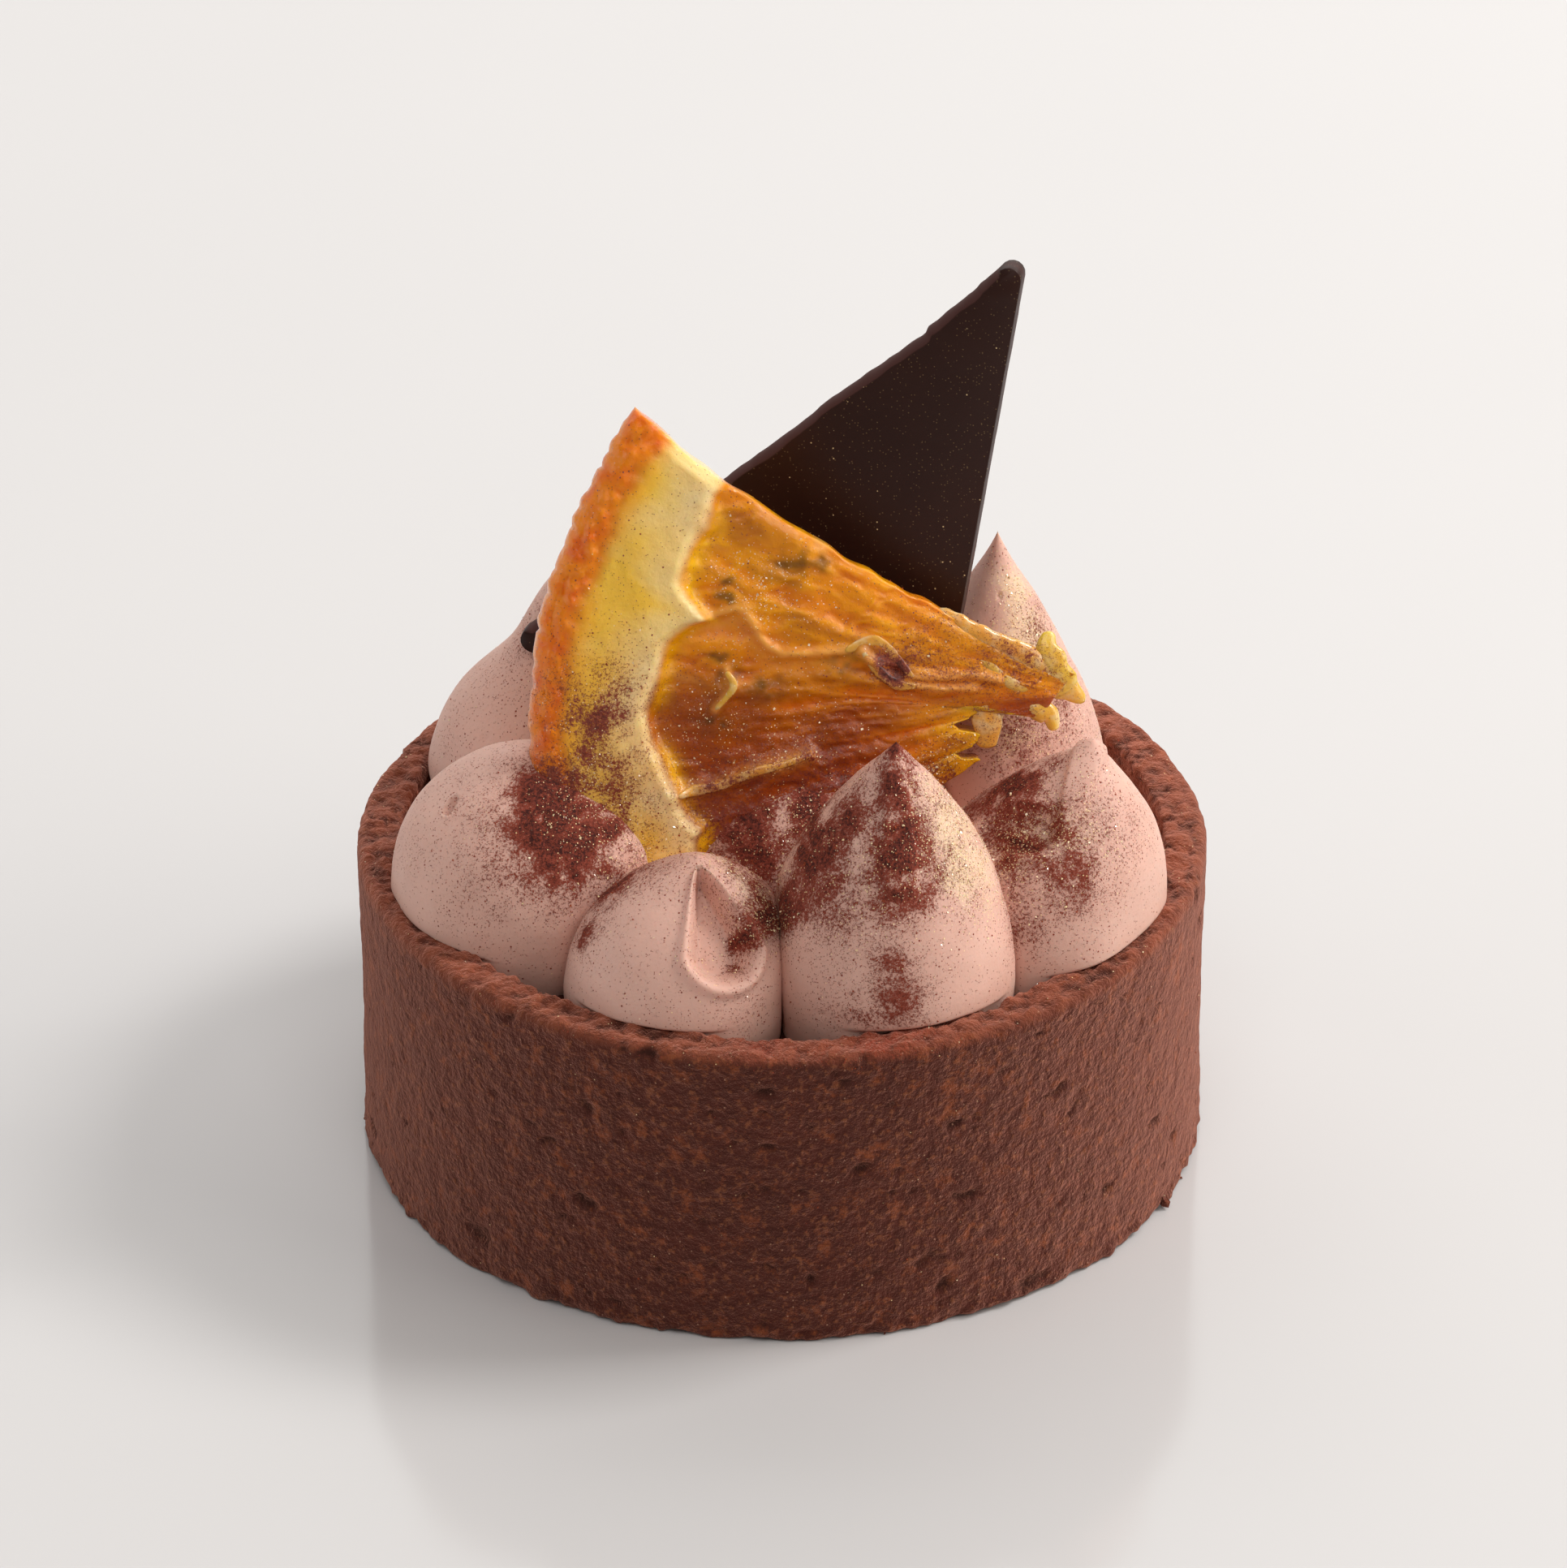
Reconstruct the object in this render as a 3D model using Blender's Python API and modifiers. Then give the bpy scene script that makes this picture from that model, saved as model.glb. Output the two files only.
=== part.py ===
"""A round chocolate tart: a straight-sided pastry case with a chocolate filling, a ring of piped cream
kisses round a middle one, a wedge of candied orange and a triangular chocolate shard standing in the cream.

Metres, +Z up. The origin is the centre of the flat underside. The front of the tart faces -Y.
"""

import math
from collections import namedtuple

import bmesh
import bpy
import numpy as np
from mathutils import Matrix, Vector

MM = 0.001

# Clearance left between two pieces that touch.
GAP = 0.3 * MM

# Pastry case.
TART_RADIUS = 32.5 * MM
TART_HEIGHT = 25.1 * MM
WALL = 3.3 * MM
FLOOR = 3.0 * MM
LIP_ROUND = 0.8 * MM
FOOT_ROUND = 0.5 * MM
RIM_WAVE = 0.35 * MM
WALL_WAVE = 0.25 * MM
CASE_STEPS = 72

# Chocolate filling, level inside the case.
FILLING_TOP = 21.5 * MM
INNER_RADIUS = TART_RADIUS - WALL

# Piped cream kisses.
CREAM_FOOT = FILLING_TOP + GAP
KISS_SIDES = 26
KISS_RINGS = 15
FOOT_LATITUDE = math.radians(-48)
FOOT_TUCK = 0.16
TUCK_SHARE = 0.22
CONTACT_SOFTNESS = 0.45 * MM

# x, y: middle of the foot. lean_x, lean_y: how far the tip is drawn aside. flare: above 1 the sides stay
# full for longer before they draw in to the tip. thin: above 1 the tip is drawn out finer. waist: how far
# the neck draws in between the body and the tip.
Kiss = namedtuple("Kiss", "name x y radius height lean_x lean_y flare thin waist")
KISSES = [
    Kiss("cream_left", -19.2, -8.6, 10.5, 15.2, 0.2, 1.2, 2.0, 0.75, 0.0),
    Kiss("cream_front_left", -7.4, -20.2, 8.9, 12.7, 1.2, 1.2, 1.8, 0.85, 0.0),
    Kiss("cream_front_right", 7.9, -19.2, 9.8, 22.2, 0.5, 0.6, 1.35, 1.0, 0.0),
    Kiss("cream_right", 19.2, -11.2, 9.7, 16.4, 2.9, 0.6, 2.3, 0.8, 0.0),
    Kiss("cream_back_right", 16.4, 7.4, 9.0, 25.4, 0.0, 0.4, 1.12, 1.12, 0.0),
    Kiss("cream_back", 7.6, 20.0, 8.4, 22.0, -0.5, 0.5, 1.3, 1.1, 0.0),
    Kiss("cream_back_left", -7.8, 19.6, 8.4, 20.5, 0.6, -0.4, 1.35, 1.1, 0.0),
    Kiss("cream_far_left", -19.0, 10.4, 9.4, 23.2, 5.2, 1.2, 1.3, 1.0, 0.33),
    Kiss("cream_middle", 1.0, -1.2, 12.4, 15.4, 0.0, 0.0, 1.6, 1.0, 0.0),
]
WAIST_HEIGHT = 0.64
WAIST_SPREAD = 0.19

# Above the rim a kiss may bulge out over it, by this much for each unit of height.
OVERHANG_SLOPE = 3.2
OVERHANG_MOST = 2.4 * MM

# The scoop that the nozzle left in the front left kiss, beside its tip.
SCOOP_KISS = "cream_front_left"
SCOOP_FACING = math.radians(-62)
SCOOP_HALF_WIDTH = math.radians(27)
SCOOP_MIDDLE = 0.66
SCOOP_HALF_HEIGHT = 0.36
SCOOP_DEPTH = 1.5 * MM

# Orange wedge: a sector of a slice. WEDGE_POINT is where its cuts would meet, at the right; the peel is left.
WEDGE_POINT = Vector((23.2, -2.0, 38.0)) * MM
WEDGE_RADIUS = 42.9 * MM
WEDGE_TOP_TRIM = 1.5 * MM
WEDGE_TOP_ANGLE = math.radians(36)
WEDGE_BOTTOM_ANGLE = math.radians(-22)
WEDGE_LEAN = math.radians(17)
WEDGE_TURN = math.radians(8)
# The pointed end: a strand of flesh reaches the point and the flesh below it has torn away.
STRAND_FROM = 0.61
STRAND_START = 0.2 * MM
STRAND_LOW = -2.0 * MM
STRAND_HIGH = 2.4 * MM
TORN_START = 9.6 * MM
TORN_LOW = -4.2 * MM
TORN_HIGH = 0.8 * MM
WEDGE_SAG = 1.5 * MM
PITH_DEPTH = 11.0 * MM
PITH_SHARE = 8 / 12
PITH_STEP = 1 / 12
PITH_THICK = 4.6 * MM
FLESH_THICK = 2.4 * MM
PEEL_SHARE = 11 / 12
PEEL_THIN = 0.35
WEDGE_CUTS = 11

# Chocolate shard: a triangular plate. Its outline is given as if it stood upright, facing the front.
SHARD_TIP = Vector((17.6, 73.0)) * MM
SHARD_LEFT = Vector((-21.5, 37.1)) * MM
SHARD_FOOT = Vector((11.3, 26.0)) * MM
SHARD_THICK = 2.0 * MM
SHARD_ROUND = 1.0 * MM
SHARD_EDGE_BEVEL = 0.5 * MM
SHARD_TURN = math.radians(12)
SHARD_LEAN = math.radians(7)
SHARD_AT = Vector((13.0, 1.5, 38.0)) * MM


# ---------------------------------------------------------------- helpers


def clear_scene():
    for obj in list(bpy.data.objects):
        bpy.data.objects.remove(obj, do_unlink=True)


def new_collection(name):
    collection = bpy.data.collections.new(name)
    bpy.context.scene.collection.children.link(collection)
    return collection


def add_object(name, mesh, collection, material=None):
    obj = bpy.data.objects.new(name, mesh)
    collection.objects.link(obj)
    if material:
        mesh.materials.append(material)
    return obj


def mesh_from_bmesh(name, bm):
    mesh = bpy.data.meshes.new(name)
    bm.to_mesh(mesh)
    bm.free()
    return mesh


def make_material(name, colour, roughness, metallic=0.0):
    material = bpy.data.materials.new(name)
    material.use_nodes = True
    shader = material.node_tree.nodes["Principled BSDF"]
    shader.inputs["Base Color"].default_value = (*colour, 1.0)
    shader.inputs["Roughness"].default_value = roughness
    shader.inputs["Metallic"].default_value = metallic
    return material


def soft_min(a, b, softness):
    """The smaller of two lengths, with a rounded change from one to the other. Never above either."""
    low = min(a, b)
    spread = math.exp((low - a) / softness) + math.exp((low - b) / softness)
    return low - softness * math.log(spread)


def turned(name, profile, steps, collection):
    """A mesh object turned from a profile of (radius, height) points that runs down its outer side."""
    bm = bmesh.new()
    points = [bm.verts.new((radius, 0.0, height)) for radius, height in profile]
    for a, b in zip(points, points[1:]):
        bm.edges.new((a, b))
    obj = add_object(name, mesh_from_bmesh(name, bm), collection)
    screw = obj.modifiers.new("Turn", "SCREW")
    screw.axis = "Z"
    screw.steps = steps
    screw.render_steps = steps
    screw.use_merge_vertices = True
    screw.merge_threshold = 0.00001
    return obj


def made_solid(obj):
    """Puts the evaluated shape of obj into obj itself, so that its points can be moved."""
    graph = bpy.context.evaluated_depsgraph_get()
    mesh = bpy.data.meshes.new_from_object(obj.evaluated_get(graph))
    obj.modifiers.clear()
    obj.data = mesh
    return obj


def cut(obj, cutter):
    boolean = obj.modifiers.new("Cut", "BOOLEAN")
    boolean.operation = "DIFFERENCE"
    boolean.solver = "EXACT"
    boolean.object = cutter


# ---------------------------------------------------------------- pastry case and filling


def baked_wave(angle, seed):
    """A slow, uneven wave round the case, from about -1 to 1."""
    return (
        0.50 * math.sin(2 * angle + 1.3 * seed)
        + 0.30 * math.sin(3 * angle + 2.1 * seed + 0.7)
        + 0.20 * math.sin(7 * angle + 3.7 * seed)
    )


def case_profile():
    inner = INNER_RADIUS
    quarter = [math.radians(degrees) for degrees in (90, 45, 0)]
    lip = [
        (
            TART_RADIUS - LIP_ROUND + LIP_ROUND * math.cos(turn),
            TART_HEIGHT - LIP_ROUND + LIP_ROUND * math.sin(turn),
        )
        for turn in quarter
    ]
    return [
        (0.0, FLOOR),
        (inner, FLOOR),
        (inner, TART_HEIGHT / 2),
        (inner, FILLING_TOP),
        (inner, TART_HEIGHT - LIP_ROUND),
        (inner + LIP_ROUND / 2, TART_HEIGHT - LIP_ROUND / 4),
        *lip,
        (TART_RADIUS, TART_HEIGHT * 0.6),
        (TART_RADIUS, TART_HEIGHT * 0.3),
        (TART_RADIUS, FOOT_ROUND),
        (TART_RADIUS - FOOT_ROUND, 0.0),
        (0.0, 0.0),
    ]


def tart_case(collection, material):
    """A blind-baked ring case. Baking left the rim a little wavy and the wall a little uneven."""
    case = made_solid(turned("tart_case", case_profile(), CASE_STEPS, collection))
    middle_of_wall = (TART_RADIUS + INNER_RADIUS) / 2
    for vertex in case.data.vertices:
        x, y, z = vertex.co
        radius = math.hypot(x, y)
        angle = math.atan2(y, x)
        rise = max(0.0, z / TART_HEIGHT - 0.5) * 2
        if radius > middle_of_wall and z > FOOT_ROUND:
            # The outer wall only ever dips inwards, so the case stays as wide as its ring.
            dip = WALL_WAVE * 0.5 * (1 + baked_wave(angle, 2))
            radius -= dip * (z / TART_HEIGHT) * (1 - z / TART_HEIGHT) * 4
        elif z > FILLING_TOP and radius < middle_of_wall:
            radius -= WALL_WAVE * 0.5 * (1 + baked_wave(angle, 5))
        vertex.co = (radius * math.cos(angle), radius * math.sin(angle), z + RIM_WAVE * rise * baked_wave(angle, 1))
    case.data.materials.append(material)
    return case


def chocolate_filling(collection, material):
    """Set chocolate that fills the case. It shows between the kisses and the wall."""
    radius = INNER_RADIUS - GAP
    profile = [(0.0, FILLING_TOP), (radius, FILLING_TOP), (radius, FLOOR + GAP), (0.0, FLOOR + GAP)]
    filling = turned("chocolate_filling", profile, CASE_STEPS, collection)
    filling.data.materials.append(material)
    return filling


# ---------------------------------------------------------------- piped cream


def kiss_section(latitude, kiss):
    """(radius share, height share) on a kiss for a latitude on the sphere that it is shaped from."""
    if latitude < FOOT_LATITUDE:
        inward = (latitude + math.pi / 2) / (FOOT_LATITUDE + math.pi / 2)
        return (1 - FOOT_TUCK) * inward, 0.0
    height = (latitude - FOOT_LATITUDE) / (math.pi / 2 - FOOT_LATITUDE)
    radius = math.cos(math.pi / 2 * height**kiss.flare) ** kiss.thin
    radius *= 1 - kiss.waist * math.exp(-(((height - WAIST_HEIGHT) / WAIST_SPREAD) ** 2))
    if height < TUCK_SHARE:
        radius *= 1 - FOOT_TUCK * (1 - height / TUCK_SHARE) ** 2
    return radius, height


def scoop_depth(kiss, angle, height):
    """How far the nozzle's scoop pulls the surface in, at a bearing and a height share."""
    if kiss.name != SCOOP_KISS:
        return 0.0
    turn = (angle - SCOOP_FACING + math.pi) % (2 * math.pi) - math.pi
    distance = math.hypot(turn / SCOOP_HALF_WIDTH, (height - SCOOP_MIDDLE) / SCOOP_HALF_HEIGHT)
    return SCOOP_DEPTH * max(0.0, 1 - distance**2)


def room_to_neighbours(kiss, centre, direction):
    """Distances from the kiss's axis, along direction, to the planes where it is pressed against others."""
    rooms = []
    for other in KISSES:
        if other is kiss:
            continue
        between = Vector((other.x - kiss.x, other.y - kiss.y)) * MM
        spacing = between.length
        normal = between / spacing
        facing = direction.dot(normal)
        if facing <= 0.02:
            continue
        own, others = kiss.radius * MM, other.radius * MM
        contact = (spacing**2 + own**2 - others**2) / (2 * spacing) - GAP / 2
        offset = (centre - Vector((kiss.x, kiss.y)) * MM).dot(normal)
        rooms.append((contact - offset) / facing)
    return rooms


def room_to_wall(centre, direction, z):
    """Distance from the kiss's axis, along direction, to the inside of the case or to the overhang's limit."""
    above = max(0.0, z - TART_HEIGHT - RIM_WAVE - GAP)
    limit = INNER_RADIUS - WALL_WAVE - GAP + min(OVERHANG_MOST, OVERHANG_SLOPE * above)
    along = centre.dot(direction)
    return math.sqrt(along**2 + limit**2 - centre.length_squared) - along


def cream_kiss(kiss, collection, material):
    """A kiss piped with a round nozzle: a full body drawn up to a point, pressed flat where it meets others."""
    bm = bmesh.new()
    bmesh.ops.create_uvsphere(bm, u_segments=KISS_SIDES, v_segments=KISS_RINGS, radius=1.0)
    for vertex in bm.verts:
        latitude = math.asin(max(-1.0, min(1.0, vertex.co.z)))
        angle = math.atan2(vertex.co.y, vertex.co.x)
        across, up = kiss_section(latitude, kiss)
        lean = Vector((kiss.lean_x, kiss.lean_y)) * MM * up**2
        centre = Vector((kiss.x, kiss.y)) * MM + lean
        direction = Vector((math.cos(angle), math.sin(angle)))
        radius = across * kiss.radius * MM - scoop_depth(kiss, angle, up) * across
        z = CREAM_FOOT + up * kiss.height * MM
        for room in [*room_to_neighbours(kiss, centre, direction), room_to_wall(centre, direction, z)]:
            radius = min(radius, max(0.0, soft_min(radius, room, CONTACT_SOFTNESS * max(across, 0.05))))
        flat = centre + direction * radius
        vertex.co = (flat.x, flat.y, z)
    obj = add_object(kiss.name, mesh_from_bmesh(kiss.name, bm), collection, material)
    obj.data.shade_smooth()
    return obj


# ---------------------------------------------------------------- orange wedge


def wedge_frame():
    """Axes of the wedge: across towards its point, up along the slice, and out of its front face."""
    across = Vector((math.cos(WEDGE_TURN), math.sin(WEDGE_TURN), 0.0))
    back = Vector((-math.sin(WEDGE_TURN), math.cos(WEDGE_TURN), 0.0))
    up = back * math.sin(WEDGE_LEAN) + Vector((0.0, 0.0, math.cos(WEDGE_LEAN)))
    return across, up, across.cross(up)


def wedge_start(turn):
    """Where the flesh starts at the pointed end: its distance from the point and its height there."""
    if turn > STRAND_FROM:
        share = (turn - STRAND_FROM) / (1 - STRAND_FROM)
        return STRAND_START, STRAND_LOW + (STRAND_HIGH - STRAND_LOW) * share
    return TORN_START, TORN_LOW + (TORN_HIGH - TORN_LOW) * turn / STRAND_FROM


def smooth_step(value, start, end):
    share = min(1.0, max(0.0, (value - start) / (end - start)))
    return share * share * (3 - 2 * share)


def wedge_point(along, turn, depth, grow):
    """A point of the wedge. along: 0 at the pointed end, 1 at the peel. turn: 0 at the lower cut, 1 at the
    upper. depth: -1 on the back, 1 on the front. grow: how far the surface is moved out, for a cutter."""
    angle = WEDGE_BOTTOM_ANGLE + (WEDGE_TOP_ANGLE - WEDGE_BOTTOM_ANGLE) * turn
    radius = WEDGE_RADIUS - WEDGE_TOP_TRIM * turn**2 + grow
    ray = Vector((math.cos(angle), math.sin(angle)))
    start_x, start_y = wedge_start(turn)
    start = Vector((start_x - 2 * grow, start_y))
    if along < PITH_SHARE:
        flat = start.lerp(ray * (radius - PITH_DEPTH), along / PITH_SHARE)
    else:
        flat = ray * (radius - PITH_DEPTH * (1 - along) / (1 - PITH_SHARE))
    flat.y += grow * (2 * turn - 1) - WEDGE_SAG * 4 * along * (1 - along)
    thick = FLESH_THICK + (PITH_THICK - FLESH_THICK) * smooth_step(along, PITH_SHARE, PITH_SHARE + PITH_STEP)
    thick *= 1 - PEEL_THIN * smooth_step(along, PEEL_SHARE, 1.0)
    across, up, out = wedge_frame()
    return WEDGE_POINT - across * flat.x + up * flat.y - out * depth * (thick / 2 + grow)


def orange_wedge(name, collection, material=None, grow=0.0):
    """A sector of an orange slice: thin flesh, a thick pith and a rounded peel."""
    bm = bmesh.new()
    bmesh.ops.create_cube(bm, size=2.0)
    bmesh.ops.subdivide_edges(bm, edges=bm.edges[:], cuts=WEDGE_CUTS, use_grid_fill=True)
    for vertex in bm.verts:
        x, y, z = vertex.co
        vertex.co = wedge_point((1 + x) / 2, (1 + y) / 2, z, grow)
    bm.normal_update()
    bmesh.ops.recalc_face_normals(bm, faces=bm.faces[:])
    return add_object(name, mesh_from_bmesh(name, bm), collection, material)


# ---------------------------------------------------------------- chocolate shard


def shard_matrix():
    lean = Matrix.Rotation(-SHARD_LEAN, 4, "X")
    turn = Matrix.Rotation(-SHARD_TURN, 4, "Z")
    return Matrix.Translation(SHARD_AT) @ turn @ lean @ Matrix.Translation(-SHARD_AT)


def chocolate_shard(name, collection, material=None, grow=0.0):
    """A flat triangle of set chocolate with rounded corners, standing on one of them."""
    curve = bpy.data.curves.new(name, "CURVE")
    curve.dimensions = "2D"
    curve.fill_mode = "BOTH"
    curve.extrude = SHARD_THICK / 2 + grow
    spline = curve.splines.new("POLY")
    corners = [SHARD_TIP, SHARD_LEFT, SHARD_FOOT]
    outline = []
    for i, corner in enumerate(corners):
        before = (corners[i - 1] - corner).normalized()
        after = (corners[(i + 1) % 3] - corner).normalized()
        bisector = (before + after).normalized()
        half = before.angle(after) / 2
        centre = corner + bisector * (SHARD_ROUND / math.sin(half))
        start = math.atan2(-bisector.y, -bisector.x)
        sweep = math.pi / 2 - half
        for share in (-1, -0.5, 0, 0.5, 1):
            turn = start + share * sweep
            radius = SHARD_ROUND + grow
            outline.append(centre + radius * Vector((math.cos(turn), math.sin(turn))))
    spline.points.add(len(outline) - 1)
    for point, place in zip(spline.points, outline):
        point.co = (place.x, place.y, 0.0, 1.0)
    spline.use_cyclic_u = True
    source = bpy.data.objects.new(name + "_outline", curve)
    collection.objects.link(source)
    bpy.context.view_layer.update()
    graph = bpy.context.evaluated_depsgraph_get()
    mesh = bpy.data.meshes.new_from_object(source.evaluated_get(graph))
    bpy.data.objects.remove(source, do_unlink=True)
    bm = bmesh.new()
    bm.from_mesh(mesh)
    bmesh.ops.remove_doubles(bm, verts=bm.verts[:], dist=0.00001)
    # The outline is drawn as x and z, so the plate is stood up and set at the depth of its pivot.
    bm.transform(Matrix.Translation((0.0, SHARD_AT.y, 0.0)) @ Matrix.Rotation(math.pi / 2, 4, "X"))
    bm.transform(shard_matrix())
    bm.normal_update()
    bmesh.ops.recalc_face_normals(bm, faces=bm.faces[:])
    obj = add_object(name, mesh_from_bmesh(name, bm), collection, material)
    if not grow:
        bevel = obj.modifiers.new("Worn edges", "BEVEL")
        bevel.width = SHARD_EDGE_BEVEL
        bevel.segments = 2
        bevel.limit_method = "ANGLE"
        bevel.angle_limit = math.radians(60)
    return obj


# ---------------------------------------------------------------- the tart


def build():
    clear_scene()
    pastry = make_material("chocolate_pastry", (0.145, 0.055, 0.035), 0.75)
    ganache = make_material("set_chocolate_filling", (0.035, 0.014, 0.009), 0.35)
    cream = make_material("cocoa_cream", (0.52, 0.34, 0.27), 0.5)
    orange = make_material("candied_orange", (0.85, 0.38, 0.03), 0.25)
    chocolate = make_material("dark_chocolate", (0.025, 0.010, 0.007), 0.35)

    tart = new_collection("chocolate_tart")
    cutters = new_collection("cutters")

    tart_case(tart, pastry)
    chocolate_filling(tart, ganache)
    kisses = [cream_kiss(kiss, tart, cream) for kiss in KISSES]
    orange_wedge("orange_wedge", tart, orange)
    chocolate_shard("chocolate_shard", tart, chocolate)

    slots = [
        orange_wedge("wedge_cutter", cutters, grow=GAP),
        chocolate_shard("shard_cutter", cutters, grow=GAP),
    ]
    for slot in slots:
        slot.hide_render = True
        slot.display_type = "WIRE"
    for kiss in kisses:
        for slot in slots:
            cut(kiss, slot)


build()
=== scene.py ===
"""The looks of a round chocolate tart: a dark baked case, piped chocolate cream dusted with cocoa and gold,
a wedge of candied orange and a snapped shard of dark chocolate.

Shapes are worked out in millimetres and made in metres. The front of the tart faces -Y.
"""
import math
from collections import namedtuple
from functools import partial

import bpy
import numpy as np
from mathutils import Matrix, Vector
from mathutils.bvhtree import BVHTree


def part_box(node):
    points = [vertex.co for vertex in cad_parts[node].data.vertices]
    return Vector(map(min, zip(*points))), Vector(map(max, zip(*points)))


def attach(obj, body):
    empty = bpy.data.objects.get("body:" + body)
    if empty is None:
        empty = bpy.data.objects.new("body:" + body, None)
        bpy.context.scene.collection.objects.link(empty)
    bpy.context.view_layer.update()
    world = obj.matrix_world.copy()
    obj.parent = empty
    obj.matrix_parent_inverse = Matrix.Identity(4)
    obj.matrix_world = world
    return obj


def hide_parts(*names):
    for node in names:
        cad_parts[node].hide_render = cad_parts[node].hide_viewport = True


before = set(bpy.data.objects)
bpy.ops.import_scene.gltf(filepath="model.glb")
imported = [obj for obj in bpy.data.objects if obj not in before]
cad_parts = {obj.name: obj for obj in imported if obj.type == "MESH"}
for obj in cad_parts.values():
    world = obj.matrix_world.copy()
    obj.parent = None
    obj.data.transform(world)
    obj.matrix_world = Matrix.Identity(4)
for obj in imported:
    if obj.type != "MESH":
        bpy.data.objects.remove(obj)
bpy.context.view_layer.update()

MM = 0.001


def frame_box(node):
    """Lowest and highest corner of a solid of the frame, in millimetres."""
    low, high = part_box(node)
    return np.array(low) / MM, np.array(high) / MM


# ---------------------------------------------------------------- sizes, shared with the solids

TART_RADIUS = frame_box("tart_case")[1][0]
TART_HEIGHT = 25.1
INNER_RADIUS = TART_RADIUS - 3.3
CASE_FLOOR = 3.0
RIM_WAVE = 0.35
WALL_WAVE = 0.25
FILLING_TOP = frame_box("chocolate_filling")[1][2]
CREAM_FOOT = frame_box("cream_middle")[0][2] - 0.3

# x, y: middle of the foot. lean: how far the tip is drawn aside. flare: above 1 the sides stay full for
# longer before they draw in. thin: above 1 the tip is drawn out finer. waist: how far the neck draws in.
Kiss = namedtuple("Kiss", "name x y radius height lean_x lean_y flare thin waist")
KISSES = [
    Kiss("cream_left", -19.2, -8.6, 10.5, 15.2, 0.2, 1.2, 2.0, 0.75, 0.0),
    Kiss("cream_front_left", -7.4, -20.2, 8.9, 12.7, 1.2, 1.2, 1.8, 0.85, 0.0),
    Kiss("cream_front_right", 7.9, -19.2, 9.8, 22.2, 0.5, 0.6, 1.35, 1.0, 0.0),
    Kiss("cream_right", 19.2, -11.2, 9.8, 17.2, 4.0, 0.9, 1.5, 0.95, 0.0),
    Kiss("cream_back_right", 16.4, 7.4, 9.0, 25.4, 0.0, 0.4, 1.12, 1.12, 0.0),
    Kiss("cream_back", 7.6, 20.0, 8.4, 22.0, -0.5, 0.5, 1.3, 1.1, 0.0),
    Kiss("cream_back_left", -7.8, 19.6, 8.4, 20.5, 0.6, -0.4, 1.35, 1.1, 0.0),
    Kiss("cream_far_left", -18.8, 10.3, 8.9, 23.2, 5.1, 1.2, 1.3, 1.0, 0.33),
    Kiss("cream_middle", 1.0, -1.2, 12.4, 15.4, 0.0, 0.0, 1.6, 1.0, 0.0),
]
# A kiss draws in at its foot by FOOT_TUCK of its radius, over the lowest TUCK_SHARE of its height. That is
# less than its solid does, since the soft cream settled outward. A waist is WAIST_HEIGHT of the way up.
FOOT_TUCK = 0.06
TUCK_SHARE = 0.22
WAIST_HEIGHT = 0.64
WAIST_SPREAD = 0.19

# The orange wedge: a sector of a slice, measured from the point where its cuts meet. It sags between point
# and peel. Its flesh runs PITH_SHARE of the way to the peel, and above STRAND_FROM of its width it reaches
# the point.
WEDGE_POINT = np.array([23.2, -2.0, 38.0])
WEDGE_RADIUS = 42.9
WEDGE_TOP_TRIM = 1.5
WEDGE_TOP_ANGLE = math.radians(36)
WEDGE_BOTTOM_ANGLE = math.radians(-22)
WEDGE_LEAN = math.radians(17)
WEDGE_TURN = math.radians(8)
WEDGE_SAG = 1.5
STRAND_FROM = 0.61
PITH_DEPTH = 11.0
PITH_SHARE = 8 / 12
PITH_THICK = 4.6
FLESH_THICK = 2.4

# The shard: corners of the triangle as if it stood upright facing the front, as x and z.
SHARD_CORNERS = [(17.6, 73.0), (-21.5, 37.1), (11.3, 26.0)]
SHARD_THICK = 2.0
SHARD_ROUND = 1.0
SHARD_TURN = math.radians(12)
SHARD_LEAN = math.radians(7)
SHARD_AT = np.array([13.0, 1.5, 38.0])


# ---------------------------------------------------------------- small tools


def linear(hex_colour):
    """A colour for a shader socket from an sRGB hex value such as "5A2A20"."""
    parts = [int(hex_colour[i : i + 2], 16) / 255 for i in (0, 2, 4)]
    return (*[c / 12.92 if c <= 0.04045 else ((c + 0.055) / 1.055) ** 2.4 for c in parts], 1.0)


def smooth_step(value, start, end):
    share = np.clip((value - start) / (end - start), 0.0, 1.0)
    return share * share * (3 - 2 * share)


def hump(distance, width):
    """1 where distance is 0, and falling off softly over width."""
    return np.exp(-((distance / width) ** 2))


def cell_number(cell, seed):
    """A fixed random number from 0 to 1 for each whole-numbered cell of space."""
    x, y, z = (cell[..., i].astype(np.int64) for i in range(3))
    n = (x * 73856093) ^ (y * 19349663) ^ (z * 83492791) ^ (seed * 40503 + 977)
    n = (n & 0xFFFFFFFF) * 2654435761 & 0xFFFFFFFF
    n = (n ^ (n >> 15)) * 2246822519 & 0xFFFFFFFF
    n = (n ^ (n >> 13)) * 3266489917 & 0xFFFFFFFF
    return ((n ^ (n >> 16)) & 0xFFFFFF) / float(0xFFFFFF)


def noise(points, size, seed):
    """Smooth noise from -1 to 1. size: the width of its lumps, one number or one for each axis."""
    place = points / np.asarray(size, float)
    cell = np.floor(place)
    part = place - cell
    fade = part * part * (3 - 2 * part)
    total = np.zeros(points.shape[:-1])
    for corner in np.ndindex(2, 2, 2):
        weight = np.prod(np.where(corner, fade, 1 - fade), axis=-1)
        total += weight * cell_number(cell + np.array(corner), seed)
    return total * 2 - 1


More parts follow.
